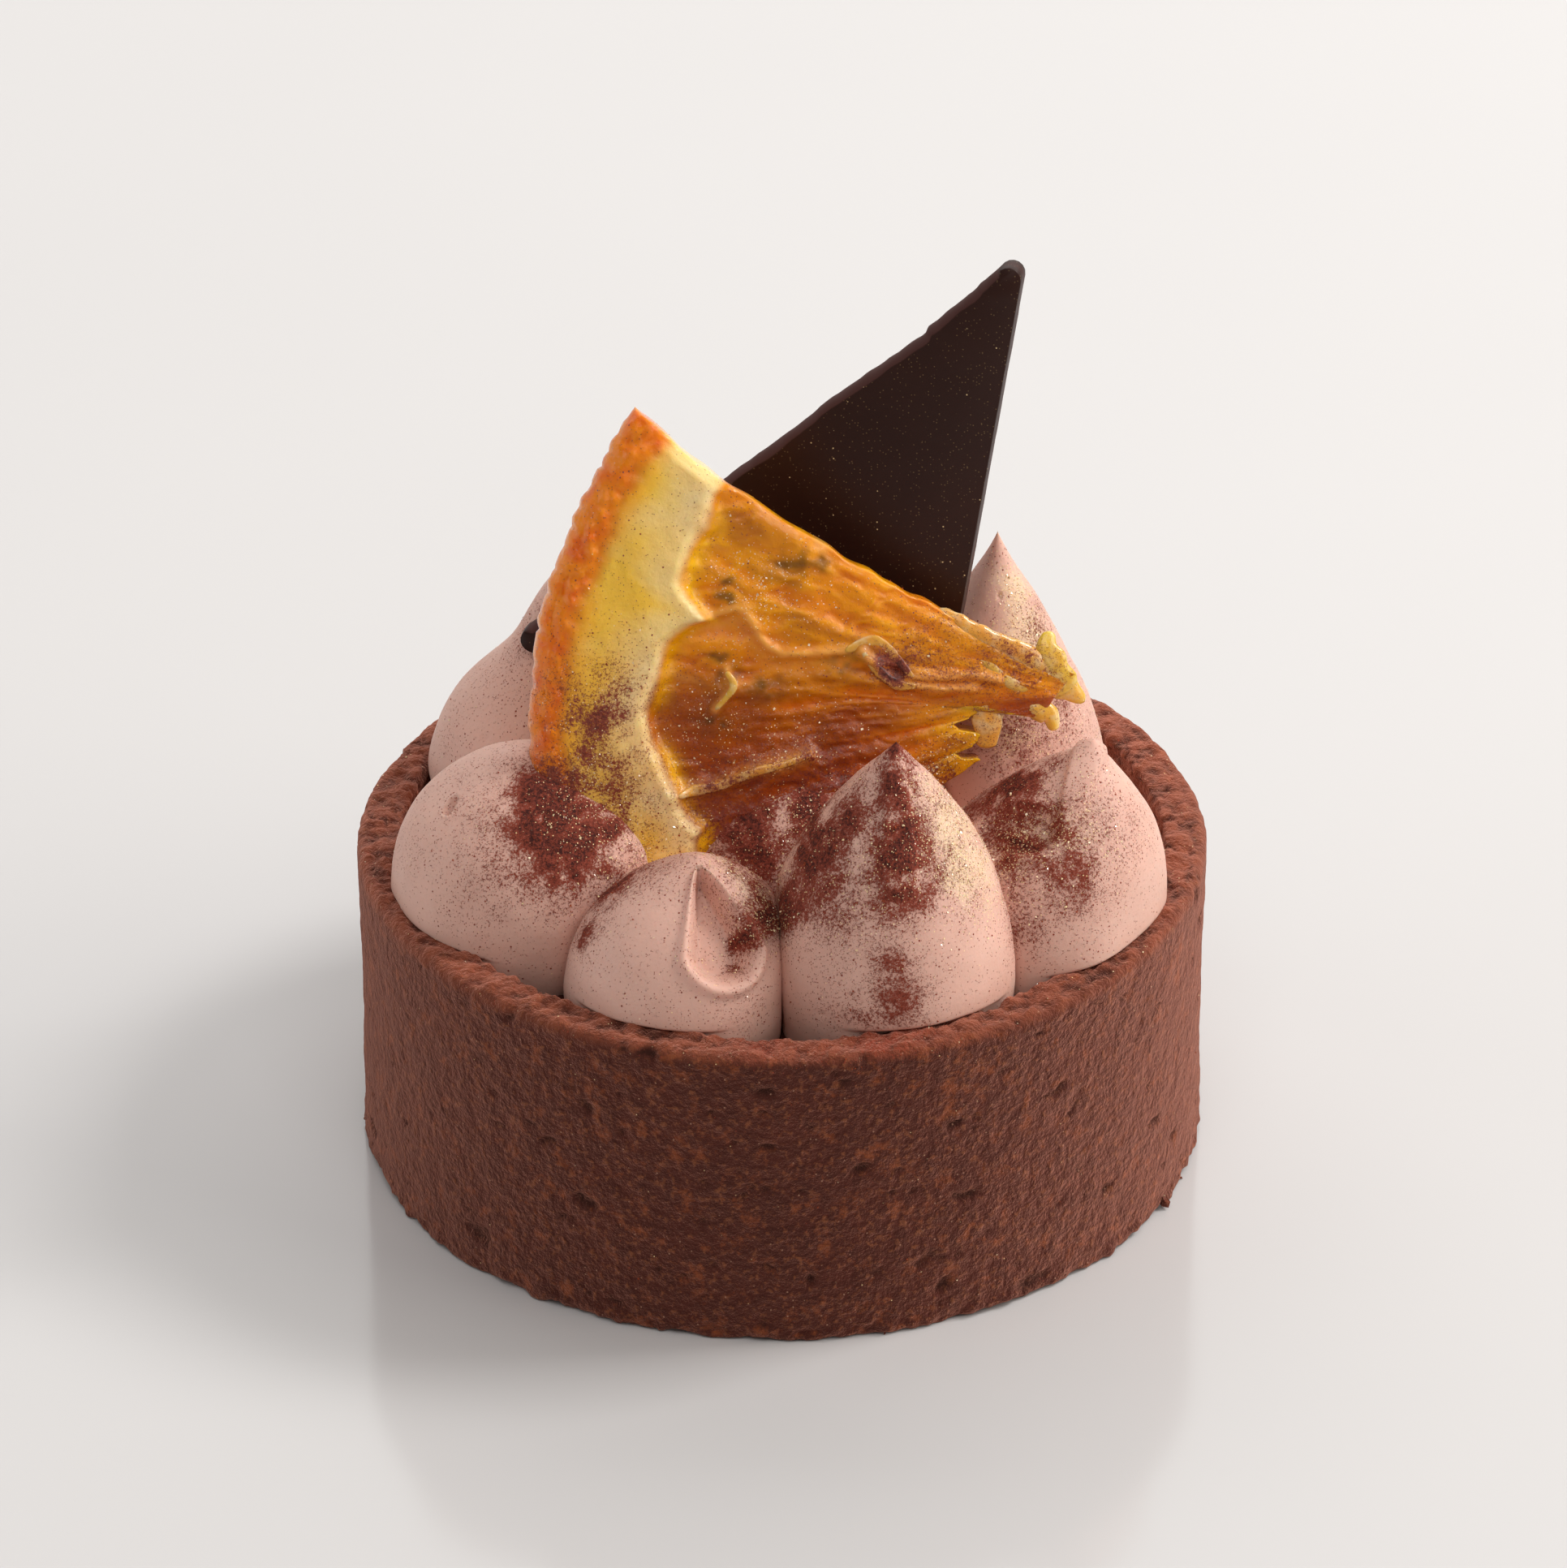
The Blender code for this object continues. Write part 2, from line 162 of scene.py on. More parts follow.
def layered_noise(points, size, seed, layers=3, gain=0.5):
    total, weight, sum_of_weights = 0.0, 1.0, 0.0
    for layer in range(layers):
        total = total + weight * noise(points, np.asarray(size, float) / 2**layer, seed + 17 * layer)
        sum_of_weights += weight
        weight *= gain
    return total / sum_of_weights


def pebbles(points, size, seed):
    """Distance to the nearest of scattered seeds, as a share of size, and that seed's random number."""
    place = points / np.asarray(size, float)
    cell = np.floor(place)
    nearest = np.full(points.shape[:-1], 9.0)
    number = np.zeros(points.shape[:-1])
    for step in np.ndindex(3, 3, 3):
        near = cell + np.array(step) - 1
        seed_place = near + np.stack([cell_number(near, seed + i) for i in (1, 2, 3)], axis=-1)
        distance = np.linalg.norm(place - seed_place, axis=-1)
        closer = distance < nearest
        nearest = np.where(closer, distance, nearest)
        number = np.where(closer, cell_number(near, seed + 4), number)
    return nearest, number


def smooth_path(points, count):
    """A smooth curve through points (Catmull-Rom), as count points. Works on rows of any numbers."""
    points = np.asarray(points, float)
    padded = np.vstack([2 * points[0] - points[1], points, 2 * points[-1] - points[-2]])
    places = np.linspace(0, len(points) - 1 - 1e-9, count)
    i = places.astype(int)
    t = (places - i)[:, None]
    a, b, c, d = (padded[i + k] for k in range(4))
    return 0.5 * (2 * b + (c - a) * t + (2 * a - 5 * b + 4 * c - d) * t**2 + (3 * b - a - 3 * c + d) * t**3)


def grid_normals(grid, wraps):
    """Unit normals of a grid of points whose rows run up and whose columns run round, seen from outside."""
    up = np.gradient(grid, axis=0)
    if wraps:
        across = (np.roll(grid, -1, axis=1) - np.roll(grid, 1, axis=1)) / 2
    else:
        across = np.gradient(grid, axis=1)
    normal = np.cross(across, up)
    return normal / np.maximum(np.linalg.norm(normal, axis=-1, keepdims=True), 1e-9)


def tube_faces(rows, columns):
    """Four-cornered faces of a grid that closes round its columns."""
    row, column = np.meshgrid(np.arange(rows - 1), np.arange(columns), indexing="ij")
    after = (column + 1) % columns
    below, above = row * columns, (row + 1) * columns
    corners = [below + column, below + after, above + after, above + column]
    return np.stack(corners, axis=-1).reshape(-1, 4).tolist()


def flat_ends(rows, columns):
    """The two flat faces that close such a grid at its first and its last row."""
    return [list(range(columns))[::-1], [(rows - 1) * columns + i for i in range(columns)]]


def pointed_ends(rows, columns):
    """Fans that close such a grid onto two more points, which follow it: one below it and one above."""
    low, high, last = rows * columns, rows * columns + 1, (rows - 1) * columns
    faces = []
    for i in range(columns):
        after = (i + 1) % columns
        faces.append([low, after, i])
        faces.append([high, last + i, last + after])
    return faces


def make_piece(name, points, faces, material, marks=None, replaces=(), smooth=True):
    """A mesh piece of the tart. marks: numbers kept on every point, by name, that its material reads."""
    mesh = bpy.data.meshes.new(name)
    mesh.from_pydata((np.asarray(points).reshape(-1, 3) * MM).tolist(), [], faces)
    for mark, values in (marks or {}).items():
        layer = mesh.attributes.new(mark, "FLOAT", "POINT")
        layer.data.foreach_set("value", np.ascontiguousarray(values, np.float32).ravel())
    if smooth:
        mesh.shade_smooth()
    mesh.materials.append(material)
    mesh.update()
    piece = bpy.data.objects.new(name, mesh)
    bpy.context.scene.collection.objects.link(piece)
    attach(piece, "root")
    if replaces:
        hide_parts(*replaces)
    return piece


# ---------------------------------------------------------------- where the cocoa and the gold fell

# Puffs of powder: x, y, z of the middle, how far it reaches and how thick it lies there, from 0 to 1.
COCOA_PUFFS = [
    # left kiss: a heavy fall beside the orange that thins out to the left, with four thick clumps
    (-19.3, -11.4, 35.7, 1.2, 0.75), (-17.2, -13.9, 33.9, 1.5, 1.00), (-14.6, -13.4, 33.2, 1.2, 0.80),
    (-16.3, -16.3, 31.5, 1.2, 1.00), (-16.8, -12.6, 34.4, 3.4, 0.60), (-13.2, -13.6, 32.2, 3.2, 0.58),
    (-18.5, -14.8, 33.2, 5.0, 0.27), (-20.0, -13.0, 33.0, 8.0, 0.06), (-17.8, -17.2, 30.9, 2.2, 0.16),
    # front left kiss: its seam with the left one and the side of its scoop
    (-14.9, -21.2, 28.8, 1.6, 0.75), (-12.6, -18.0, 31.0, 2.2, 0.65), (-9.0, -19.0, 32.5, 3.5, 0.14),
    (-2.0, -22.6, 30.6, 1.7, 0.55), (-2.4, -18.6, 32.0, 2.4, 0.50), (-0.9, -20.7, 30.8, 1.6, 0.45),
    (-2.5, -24.4, 30.2, 0.9, 0.60), (-3.0, -25.9, 28.8, 0.7, 0.45),
    # front right kiss: a dark stripe down from its tip, and freckles both sides
    (8.3, -19.3, 43.4, 1.7, 0.70), (8.4, -21.0, 41.6, 1.3, 0.95), (8.6, -22.6, 39.4, 1.4, 0.95),
    (8.6, -24.2, 37.2, 1.5, 0.85), (8.8, -25.8, 34.8, 2.0, 0.55), (5.2, -21.4, 38.4, 2.6, 0.35),
    (8.2, -22.4, 38.0, 5.6, 0.26), (2.6, -21.6, 35.6, 2.6, 0.50), (4.4, -25.0, 34.0, 3.0, 0.28),
    (12.0, -22.8, 36.4, 3.4, 0.16), (0.7, -22.6, 31.6, 2.0, 0.60), (8.0, -28.0, 30.4, 1.5, 0.40),
    (9.2, -28.4, 27.6, 2.0, 0.35), (2.0, -18.4, 36.6, 2.4, 0.65),
    # right kiss
    (15.2, -11.2, 35.4, 2.8, 0.75), (17.8, -10.4, 36.6, 1.8, 0.80), (20.0, -10.6, 37.4, 1.2, 0.45),
    (17.0, -15.8, 34.4, 2.8, 0.48), (19.2, -15.2, 35.4, 2.4, 0.40), (21.6, -18.8, 32.2, 2.2, 0.36),
    (17.8, -20.0, 29.0, 2.0, 0.34), (25.4, -14.4, 34.6, 3.6, 0.10), (17.6, -14.6, 34.4, 3.8, 0.28),
    (20.6, -17.0, 31.5, 5.0, 0.12),
    # the hollow behind the front kisses
    (-2.0, -11.0, 30.6, 4.0, 0.62), (4.0, -9.4, 33.0, 3.6, 0.62), (12.0, -8.0, 33.4, 3.4, 0.60),
    (16.0, -3.4, 33.6, 3.6, 0.55), (17.7, 0.5, 33.2, 3.0, 0.30),
    # back right kiss
    (19.6, 5.6, 40.2, 2.0, 0.34), (22.6, 2.6, 34.2, 3.0, 0.30),
    # orange: the lower part of the peel and the pith, the fold and the tip
    (-13.8, -9.0, 40.4, 5.0, 0.40), (-13.4, -9.3, 39.2, 2.4, 0.45), (-11.6, -10.4, 34.2, 2.8, 0.25),
    (-4.0, -8.6, 33.6, 3.6, 0.40), (3.4, -6.6, 35.4, 3.0, 0.40), (7.6, -4.4, 42.2, 0.9, 1.00),
    (8.5, -4.5, 41.4, 0.9, 1.00), (11.4, -3.8, 42.6, 3.4, 0.36), (16.2, -3.2, 41.6, 3.0, 0.36),
    (19.6, -3.0, 41.0, 2.2, 0.36),
    # far left and back kisses
    (-20.2, 8.6, 37.6, 2.6, 0.22), (-9.0, 17.0, 36.0, 4.0, 0.30), (6.0, 18.0, 37.0, 4.0, 0.34),
    # rim in front, where powder slid off the kisses
    (7.2, -29.6, 25.2, 3.4, 0.55), (-1.2, -29.4, 25.2, 3.0, 0.30),
]
GOLD_PUFFS = [
    (13.2, -21.4, 36.6, 3.4, 1.00), (11.0, -19.8, 40.2, 2.4, 0.70), (14.2, -23.0, 33.4, 2.8, 0.60),
    (6.0, -24.0, 35.6, 4.0, 0.22), (17.7, 0.4, 33.4, 3.0, 0.60), (18.4, 5.0, 41.8, 2.2, 1.00),
    (17.2, 5.4, 43.8, 1.6, 0.70), (19.0, 4.4, 39.4, 2.4, 0.80), (17.0, -16.6, 33.8, 3.6, 0.55),
    (22.0, -15.4, 35.0, 3.4, 0.30), (-3.0, -19.0, 32.2, 2.6, 0.60), (-1.4, -22.4, 30.4, 2.0, 0.40),
    (-5.0, -25.8, 29.6, 1.6, 0.50), (-14.6, -12.8, 34.0, 4.4, 0.14), (-11.0, -12.6, 31.6, 3.0, 0.18),
    (-12.4, -9.2, 36.6, 7.0, 0.08), (-6.4, -7.8, 37.0, 6.0, 0.12), (0.0, -6.6, 38.4, 7.0, 0.12),
    (-1.6, -4.6, 48.0, 3.6, 0.45), (2.0, -11.0, 31.6, 5.0, 0.22), (11.4, -6.4, 34.0, 2.4, 0.80),
    (26.0, 4.0, 33.0, 4.0, 0.25),
]


def powder(points, puffs):
    """How thick a powder lies at points, from 0 to 1."""
    total = np.zeros(points.shape[:-1])
    for x, y, z, reach, strength in puffs:
        total += strength * hump(np.linalg.norm(points - np.array([x, y, z]), axis=-1), reach)
    return np.minimum(total, 1.0)


def patchy_gold(points):
    """How thick the gold lies at points, which clings in drifts."""
    return powder(points, GOLD_PUFFS) * np.maximum(1 + 1.1 * layered_noise(points, 1.6, 351, 2), 0.15)


def gold_on(points, normals):
    """Gold lustre on a surface, only where it faces up."""
    return np.clip((patchy_gold(points) + 0.004) * smooth_step(normals[..., 2], -0.2, 0.4), 0, 1)


def cocoa_on(points, normals, least):
    """Cocoa on a surface: patchy, and thinner where the surface turns down. least: what lies everywhere."""
    patchy = 1 + 0.7 * layered_noise(points, 2.4, 301, 2) + 0.8 * layered_noise(points, 0.9, 311, 2)
    facing_up = smooth_step(normals[..., 2], -0.35, 0.35)
    drifts = np.clip(1 + 1.6 * layered_noise(points, 3.0, 321, 2), 0.1, 3)
    return np.clip((powder(points, COCOA_PUFFS) * patchy + least * drifts) * facing_up, 0.0, 1.0)


# ---------------------------------------------------------------- materials


def add_node(tree, kind, inputs=None, output=0, **settings):
    """Adds a node and gives one of its outputs. inputs: by name or number, a value or an output to link."""
    made = tree.nodes.new("ShaderNode" + kind)
    for setting, value in settings.items():
        setattr(made, setting, value)
    for key, value in (inputs or {}).items():
        if isinstance(value, bpy.types.NodeSocket):
            tree.links.new(value, made.inputs[key])
        else:
            made.inputs[key].default_value = value
    return made.outputs[output]


def new_material(name, **finish):
    """A material whose Principled shader is set to finish: socket names, with _ for a space."""
    material = bpy.data.materials.new(name)
    material.use_nodes = True
    shader = material.node_tree.nodes["Principled BSDF"]
    for socket, value in finish.items():
        shader.inputs[socket.replace("_", " ")].default_value = value
    add = partial(add_node, material.node_tree)
    return material, shader, add, add("TexCoord", output="Object")


def per_mm(size):
    """Scale of a texture whose lumps are size millimetres wide."""
    return 1 / (size * MM)


def specks(add, place, spacing, share, radius=0.45):
    """1 inside specks in cells of spacing (mm), of which only a share (a number or an output) has one."""
    distance = add("TexVoronoi", {"Vector": place, "Scale": per_mm(spacing)}, "Distance")
    colour = add("TexVoronoi", {"Vector": place, "Scale": per_mm(spacing)}, "Color")
    number = add("SeparateColor", {0: colour})
    there = add("Math", {0: number, 1: share}, operation="LESS_THAN")
    inside = add("MapRange", {"Value": distance, "From Min": radius, "From Max": radius * 0.6})
    return add("Math", {0: there, 1: inside}, operation="MULTIPLY")


# Single grains of cocoa are a hundredth of a millimetre, so the specks and clumps drawn here stand for many.
COCOA_THIN = "984431"
COCOA_THICK = "3C130F"
GOLD = "FFE0A6"
GOLD_HAZE = "F8E0BC"


def powdered(material, shader, add, place, base, roughness):
    """Sets the shader to base under cocoa and gold. The powder lies as loose specks over a fine haze, and
    closes up where it is thick; the gold glints, and light doesn't get into what the cocoa covers."""
    tree = material.node_tree
    thick = add("Attribute", output="Fac", attribute_name="cocoa")
    clumps = add("TexNoise", {"Vector": place, "Scale": per_mm(0.24), "Detail": 4.0, "Roughness": 0.8})
    reach = add("Math", {0: thick, 1: 0.46, 2: clumps}, operation="MULTIPLY_ADD")
    blots = add("MapRange", {"Value": reach, "From Min": 0.65, "From Max": 0.79})
    fine = specks(add, place, 0.12, add("Math", {0: thick, 1: 0.9}, operation="MULTIPLY"), 0.5)
    coarse = specks(add, place, 0.21, add("Math", {0: thick, 1: 0.22}, operation="MULTIPLY"), 0.42)
    loose = add("Math", {0: fine, 1: 0.75}, operation="MULTIPLY")
    loose = add("Math", {0: loose, 1: coarse}, operation="MAXIMUM")
    haze = add("MapRange", {"Value": thick, "From Min": 0.04, "From Max": 0.9, "To Max": 0.6})
    closed = add("Math", {0: loose, 1: blots}, operation="MAXIMUM")
    cover = add("Math", {0: closed, 1: haze}, operation="MAXIMUM")
    deep = add("MapRange", {"Value": reach, "From Min": 0.78, "From Max": 1.03})
    tone = add("Mix", {0: deep, 6: linear(COCOA_THIN), 7: linear(COCOA_THICK)}, 2, data_type="RGBA")
    lustre = add("Attribute", output="Fac", attribute_name="gold")
    gilt = add("MapRange", {"Value": lustre, "From Min": 0.3, "From Max": 1.0, "To Max": 0.6})
    gilded = add("Mix", {0: gilt, 6: base, 7: linear(GOLD_HAZE)}, 2, data_type="RGBA")
    cocoa = add("Mix", {0: cover, 6: gilded, 7: tone}, 2, data_type="RGBA")
    flakes = specks(add, place, 0.13, add("Math", {0: lustre, 1: 0.40}, operation="MULTIPLY"), 0.45)
    colour = add("Mix", {0: flakes, 6: cocoa, 7: linear(GOLD)}, 2, data_type="RGBA")
    matt = add("Math", {0: cover, 1: 0.4, 2: roughness}, operation="MULTIPLY_ADD")
    shine = add("Mix", {0: flakes, 2: matt, 3: 0.4})
    hidden = add("Math", {0: cover, 1: flakes}, operation="MAXIMUM")
    light_inside = shader.inputs["Subsurface Weight"].default_value
    bare = add("MapRange", {"Value": hidden, "To Min": light_inside, "To Max": 0.0})
    tree.links.new(colour, shader.inputs["Base Color"])
    tree.links.new(shine, shader.inputs["Roughness"])
    tree.links.new(bare, shader.inputs["Subsurface Weight"])
    return cover


def baked_cocoa_pastry():
    """Shortcrust with cocoa, baked in a ring: matt and crumbly, with pale sugar specks whose glint is painted
    into their colour, specks of paler dough and small holes, which are painted darker as shade, as are the
    creases of the rim. Its rough skin catches light from the side, hence the sheen."""
    material, shader, add, place = new_material(
        "baked_cocoa_pastry",
        Specular_IOR_Level=0.10,
        Sheen_Weight=0.95,
        Sheen_Roughness=0.5,
        Sheen_Tint=linear("E69E88"),
    )
    broad = add("TexNoise", {"Vector": place, "Scale": per_mm(6.0), "Detail": 3.0})
    grain = add("TexNoise", {"Vector": place, "Scale": per_mm(0.55), "Detail": 4.0, "Roughness": 0.65})
    crumb = add("TexNoise", {"Vector": place, "Scale": per_mm(1.5), "Detail": 4.0, "Roughness": 0.6})
    base = add("Mix", {0: broad, 6: linear("3F1711"), 7: linear("532016")}, 2, data_type="RGBA")
    dim = add("MapRange", {"Value": crumb, "From Min": 0.42, "From Max": 0.62, "To Max": 0.55})
    tan = add("MapRange", {"Value": grain, "From Min": 0.54, "From Max": 0.68, "To Max": 0.55})
    dough = add("TexNoise", {"Vector": place, "Scale": per_mm(1.9), "Detail": 5.0, "Roughness": 0.72})
    dough = add("MapRange", {"Value": dough, "From Min": 0.55, "From Max": 0.70, "To Max": 0.7})
    edge = add("Attribute", output="Fac", attribute_name="edge")
    edge = add("Math", {0: edge, 1: 0.7}, operation="MULTIPLY")
    # Painted shade: the pits and the rim's creases are painted darker, for the shade that falls in them.
    hollow = add("Attribute", output="Fac", attribute_name="hollow")
    # Sugar specks: pale as sugar is, and paler still with a painted glint.
    sugar = specks(add, place, 0.42, 0.09, 0.2)
    sugar = add("Math", {0: sugar, 1: 0.5}, operation="MULTIPLY")
    layers = [
        (dim, "371410"),
        (tan, "A0603C"),
        (dough, "A0532C"),
        (edge, "9A5238"),
        (hollow, "2C130E"),
        (sugar, "D9A88C"),
    ]
    for share, colour in layers:
        base = add("Mix", {0: share, 6: base, 7: linear(colour)}, 2, data_type="RGBA")
    powdered(material, shader, add, place, base, 0.62)
    rough = add("Bump", {"Height": crumb, "Distance": 0.5 * MM})
    rough = add("Bump", {"Height": grain, "Distance": 0.35 * MM, "Normal": rough})
    material.node_tree.links.new(rough, shader.inputs["Normal"])
    return material


def whipped_cocoa_cream():
    """Whipped ganache: pale pink-brown, dense and satin, with very fine bubbles that light gets into. The
    foam in its skin is drawn several times coarser than it is."""
    material, shader, add, place = new_material(
        "whipped_cocoa_cream",
        Subsurface_Weight=0.3,
        Subsurface_Radius=(1.0, 0.5, 0.35),
        Subsurface_Scale=1.2 * MM,
        Specular_IOR_Level=0.35,
    )
    cloudy = add("TexNoise", {"Vector": place, "Scale": per_mm(4.0), "Detail": 2.0})
    base = add("Mix", {0: cloudy, 6: linear("E3B4A3"), 7: linear("EBBFAE")}, 2, data_type="RGBA")
    cover = powdered(material, shader, add, place, base, 0.5)
    foam = add("TexNoise", {"Vector": place, "Scale": per_mm(0.35), "Detail": 3.0, "Roughness": 0.6})
    foam = add("Bump", {"Height": foam, "Distance": 0.035 * MM})
    heaped = add("Bump", {"Height": cover, "Distance": 0.06 * MM, "Normal": foam})
    material.node_tree.links.new(heaped, shader.inputs["Normal"])
    return material


def candied_orange():
    """Orange cooked in syrup: translucent flesh, spongy yellow pith and a glossy peel, all wet with syrup."""
    material, shader, add, place = new_material(
        "candied_orange",
        Subsurface_Weight=0.5,
        Subsurface_Radius=(1.0, 0.6, 0.2),
        Subsurface_Scale=1.2 * MM,
        Specular_IOR_Level=0.1,  # The shine is the syrup's, which is the coat. The flesh itself adds little.
        Specular_Tint=(1.0, 0.6, 0.2, 1.0),
        Coat_Weight=0.8,
        Coat_Roughness=0.07,
        Coat_IOR=1.5,
    )
    marks = {name: add("Attribute", output="Fac", attribute_name=name) for name in ORANGE_MARKS}
    # The fibre mark is partly the flesh's fibres and partly painted light: yellower high on the slice and
    # near the point.
    flesh = add("Mix", {0: marks["fibre"], 6: linear("DE6600"), 7: linear("FFAA04")}, 2, data_type="RGBA")
    # Painted light and shade on the flesh: a deep orange low on the slice is painted shade, olive-brown spots
    # are the painted dark of what lies behind showing through, and a bright yellow by the pith and near the
    # point is painted light shining through.
    for name, colour in (("depth", "963A00"), ("bruise", "5A3A06"), ("glow", "FFBC0C")):
        flesh = add("Mix", {0: marks[name], 6: flesh, 7: linear(colour)}, 2, data_type="RGBA")
    pith = add("Mix", {0: marks["pale"], 6: linear("FFCA46"), 7: linear("FFE0A0")}, 2, data_type="RGBA")
    pith = add("Mix", {0: marks["ochre"], 6: pith, 7: linear("FAA81C")}, 2, data_type="RGBA")
    blotches = add("TexNoise", {"Vector": place, "Scale": per_mm(2.0), "Detail": 3.0})
    red = add("MapRange", {"Value": blotches, "From Min": 0.45, "From Max": 0.68})
    peel = add("Mix", {0: red, 6: linear("FF8E00"), 7: linear("F06C00")}, 2, data_type="RGBA")
    base = add("Mix", {0: marks["pith"], 6: flesh, 7: pith}, 2, data_type="RGBA")
    # The membrane mark is the pale skins between the segments, together with painted wet glints on the flesh
    # high up.
    base = add("Mix", {0: marks["membrane"], 6: base, 7: linear("F4AC50")}, 2, data_type="RGBA")
    base = add("Mix", {0: marks["rind"], 6: base, 7: peel}, 2, data_type="RGBA")
    cover = powdered(material, shader, add, place, base, 0.26)
    skin = add("TexNoise", {"Vector": place, "Scale": per_mm(0.8), "Detail": 5.0, "Roughness": 0.65})
    skin = add("Bump", {"Height": skin, "Distance": 0.12 * MM})
    heaped = add("Bump", {"Height": cover, "Distance": 0.04 * MM, "Normal": skin})
    syrup = add("TexNoise", {"Vector": place, "Scale": per_mm(0.9), "Detail": 4.0, "Roughness": 0.6})
    syrup = add("Bump", {"Height": syrup, "Distance": 0.35 * MM})
    tree = material.node_tree
    tree.links.new(heaped, shader.inputs["Normal"])
    tree.links.new(syrup, shader.inputs["Coat Normal"])
    return material


def candied_membrane():
    """The skins between the segments: thin, and see-through with syrup, from amber to clear yellow."""
    material, shader, add, place = new_material(
        "candied_membrane",
        Subsurface_Weight=0.5,
        Subsurface_Radius=(1.0, 0.9, 0.5),
        Subsurface_Scale=0.8 * MM,
        Transmission_Weight=0.15,
        Specular_IOR_Level=0.2,
        Coat_Weight=0.7,
        Coat_Roughness=0.08,
    )
    tint = add("Attribute", output="Fac", attribute_name="yellow")
    base = add("Mix", {0: tint, 6: linear("FCB048"), 7: linear("FFD44C")}, 2, data_type="RGBA")
    milky = add("TexNoise", {"Vector": place, "Scale": per_mm(0.9), "Detail": 3.0})
    milky = add("MapRange", {"Value": milky, "From Min": 0.46, "From Max": 0.68, "To Max": 0.5})
    base = add("Mix", {0: milky, 6: base, 7: linear("FFEEC4")}, 2, data_type="RGBA")
    powdered(material, shader, add, place, base, 0.25)
    creased = add("TexNoise", {"Vector": place, "Scale": per_mm(0.5), "Detail": 3.0})
    creased = add("Bump", {"Height": creased, "Distance": 0.08 * MM})
    material.node_tree.links.new(creased, shader.inputs["Normal"])
    return material


def tempered_dark_chocolate():
    """A snapped plate of dark chocolate: satin face with a little dust, paler and rougher where it broke."""
    material, shader, add, place = new_material("tempered_dark_chocolate", Specular_IOR_Level=0.25)
    cloud = add("TexNoise", {"Vector": place, "Scale": per_mm(6.0), "Detail": 3.0})
    base = add("Mix", {0: cloud, 6: linear("28100A"), 7: linear("33170E")}, 2, data_type="RGBA")
    fine = specks(add, place, 0.21, 0.26, 0.30)
    fine = add("Math", {0: fine, 1: 0.32}, operation="MULTIPLY")
    base = add("Mix", {0: fine, 6: base, 7: linear("9C8058")}, 2, data_type="RGBA")
    coarse = specks(add, place, 0.55, 0.10, 0.13)
    base = add("Mix", {0: coarse, 6: base, 7: linear("D8BC8C")}, 2, data_type="RGBA")
    broken = add("Attribute", output="Fac", attribute_name="broken")
    base = add("Mix", {0: broken, 6: base, 7: linear("4E2C27")}, 2, data_type="RGBA")
    rough = add("Math", {0: broken, 1: 0.2, 2: 0.45}, operation="MULTIPLY_ADD")
    tree = material.node_tree
    tree.links.new(base, shader.inputs["Base Color"])
    tree.links.new(rough, shader.inputs["Roughness"])
    waves = add("TexNoise", {"Vector": place, "Scale": per_mm(3.0), "Detail": 5.0})
    tree.links.new(add("Bump", {"Height": waves, "Distance": 0.08 * MM}), shader.inputs["Normal"])
    return material


def set_chocolate_filling():
    """Poured chocolate, set level and smooth; a little dull with the crumbs that fell on it."""
    material, shader, add, place = new_material("set_chocolate_filling", Roughness=0.45)
    cloud = add("TexNoise", {"Vector": place, "Scale": per_mm(1.5), "Detail": 4.0})
    base = add("Mix", {0: cloud, 6: linear("381A12"), 7: linear("552A20")}, 2, data_type="RGBA")
    tree = material.node_tree
    tree.links.new(base, shader.inputs["Base Color"])
    tree.links.new(add("Bump", {"Height": cloud, "Distance": 0.2 * MM}), shader.inputs["Normal"])
    return material


def cocoa_powder():
    """Alkalised cocoa in loose grains: dull, dark and reddish."""
    material, shader, add, place = new_material("cocoa_powder", Roughness=0.95, Specular_IOR_Level=0.1)
    cloud = add("TexNoise", {"Vector": place, "Scale": per_mm(1.2), "Detail": 3.0})
    base = add("Mix", {0: cloud, 6: linear("823626"), 7: linear("B05A38")}, 2, data_type="RGBA")
    material.node_tree.links.new(base, shader.inputs["Base Color"])
    return material


def gold_lustre():
    """Edible gold lustre: tiny flat flakes of coated mica, pale and pearly, that mirror the light strongly
    because their coating bends it more than glass does."""
    material, shader, add, place = new_material("gold_lustre", Roughness=0.18, IOR=2.2)
    cloud = add("TexNoise", {"Vector": place, "Scale": per_mm(0.8), "Detail": 2.0})
    base = add("Mix", {0: cloud, 6: linear("F6CE88"), 7: linear("FFF0CC")}, 2, data_type="RGBA")
    material.node_tree.links.new(base, shader.inputs["Base Color"])
    return material


def pale_floor():
    """Plain pale stone with a polish that mirrors a little."""
    material, shader, add, place = new_material("pale_floor", Roughness=0.13)
    cloud = add("TexNoise", {"Vector": place, "Scale": per_mm(90.0), "Detail": 2.0})
    base = add("Mix", {0: cloud, 6: linear("CFCECE"), 7: linear("D3D2D2")}, 2, data_type="RGBA")
    material.node_tree.links.new(base, shader.inputs["Base Color"])
    return material


# ---------------------------------------------------------------- pastry case

CASE_COLUMNS = 660
WALL_ROWS = 82


def baked_wave(angle, seed):
    """The slow, uneven wave round the case that its solid has."""
    return (
        0.50 * np.sin(2 * angle + 1.3 * seed)
        + 0.30 * np.sin(3 * angle + 2.1 * seed + 0.7)
        + 0.20 * np.sin(7 * angle + 3.7 * seed)
    )


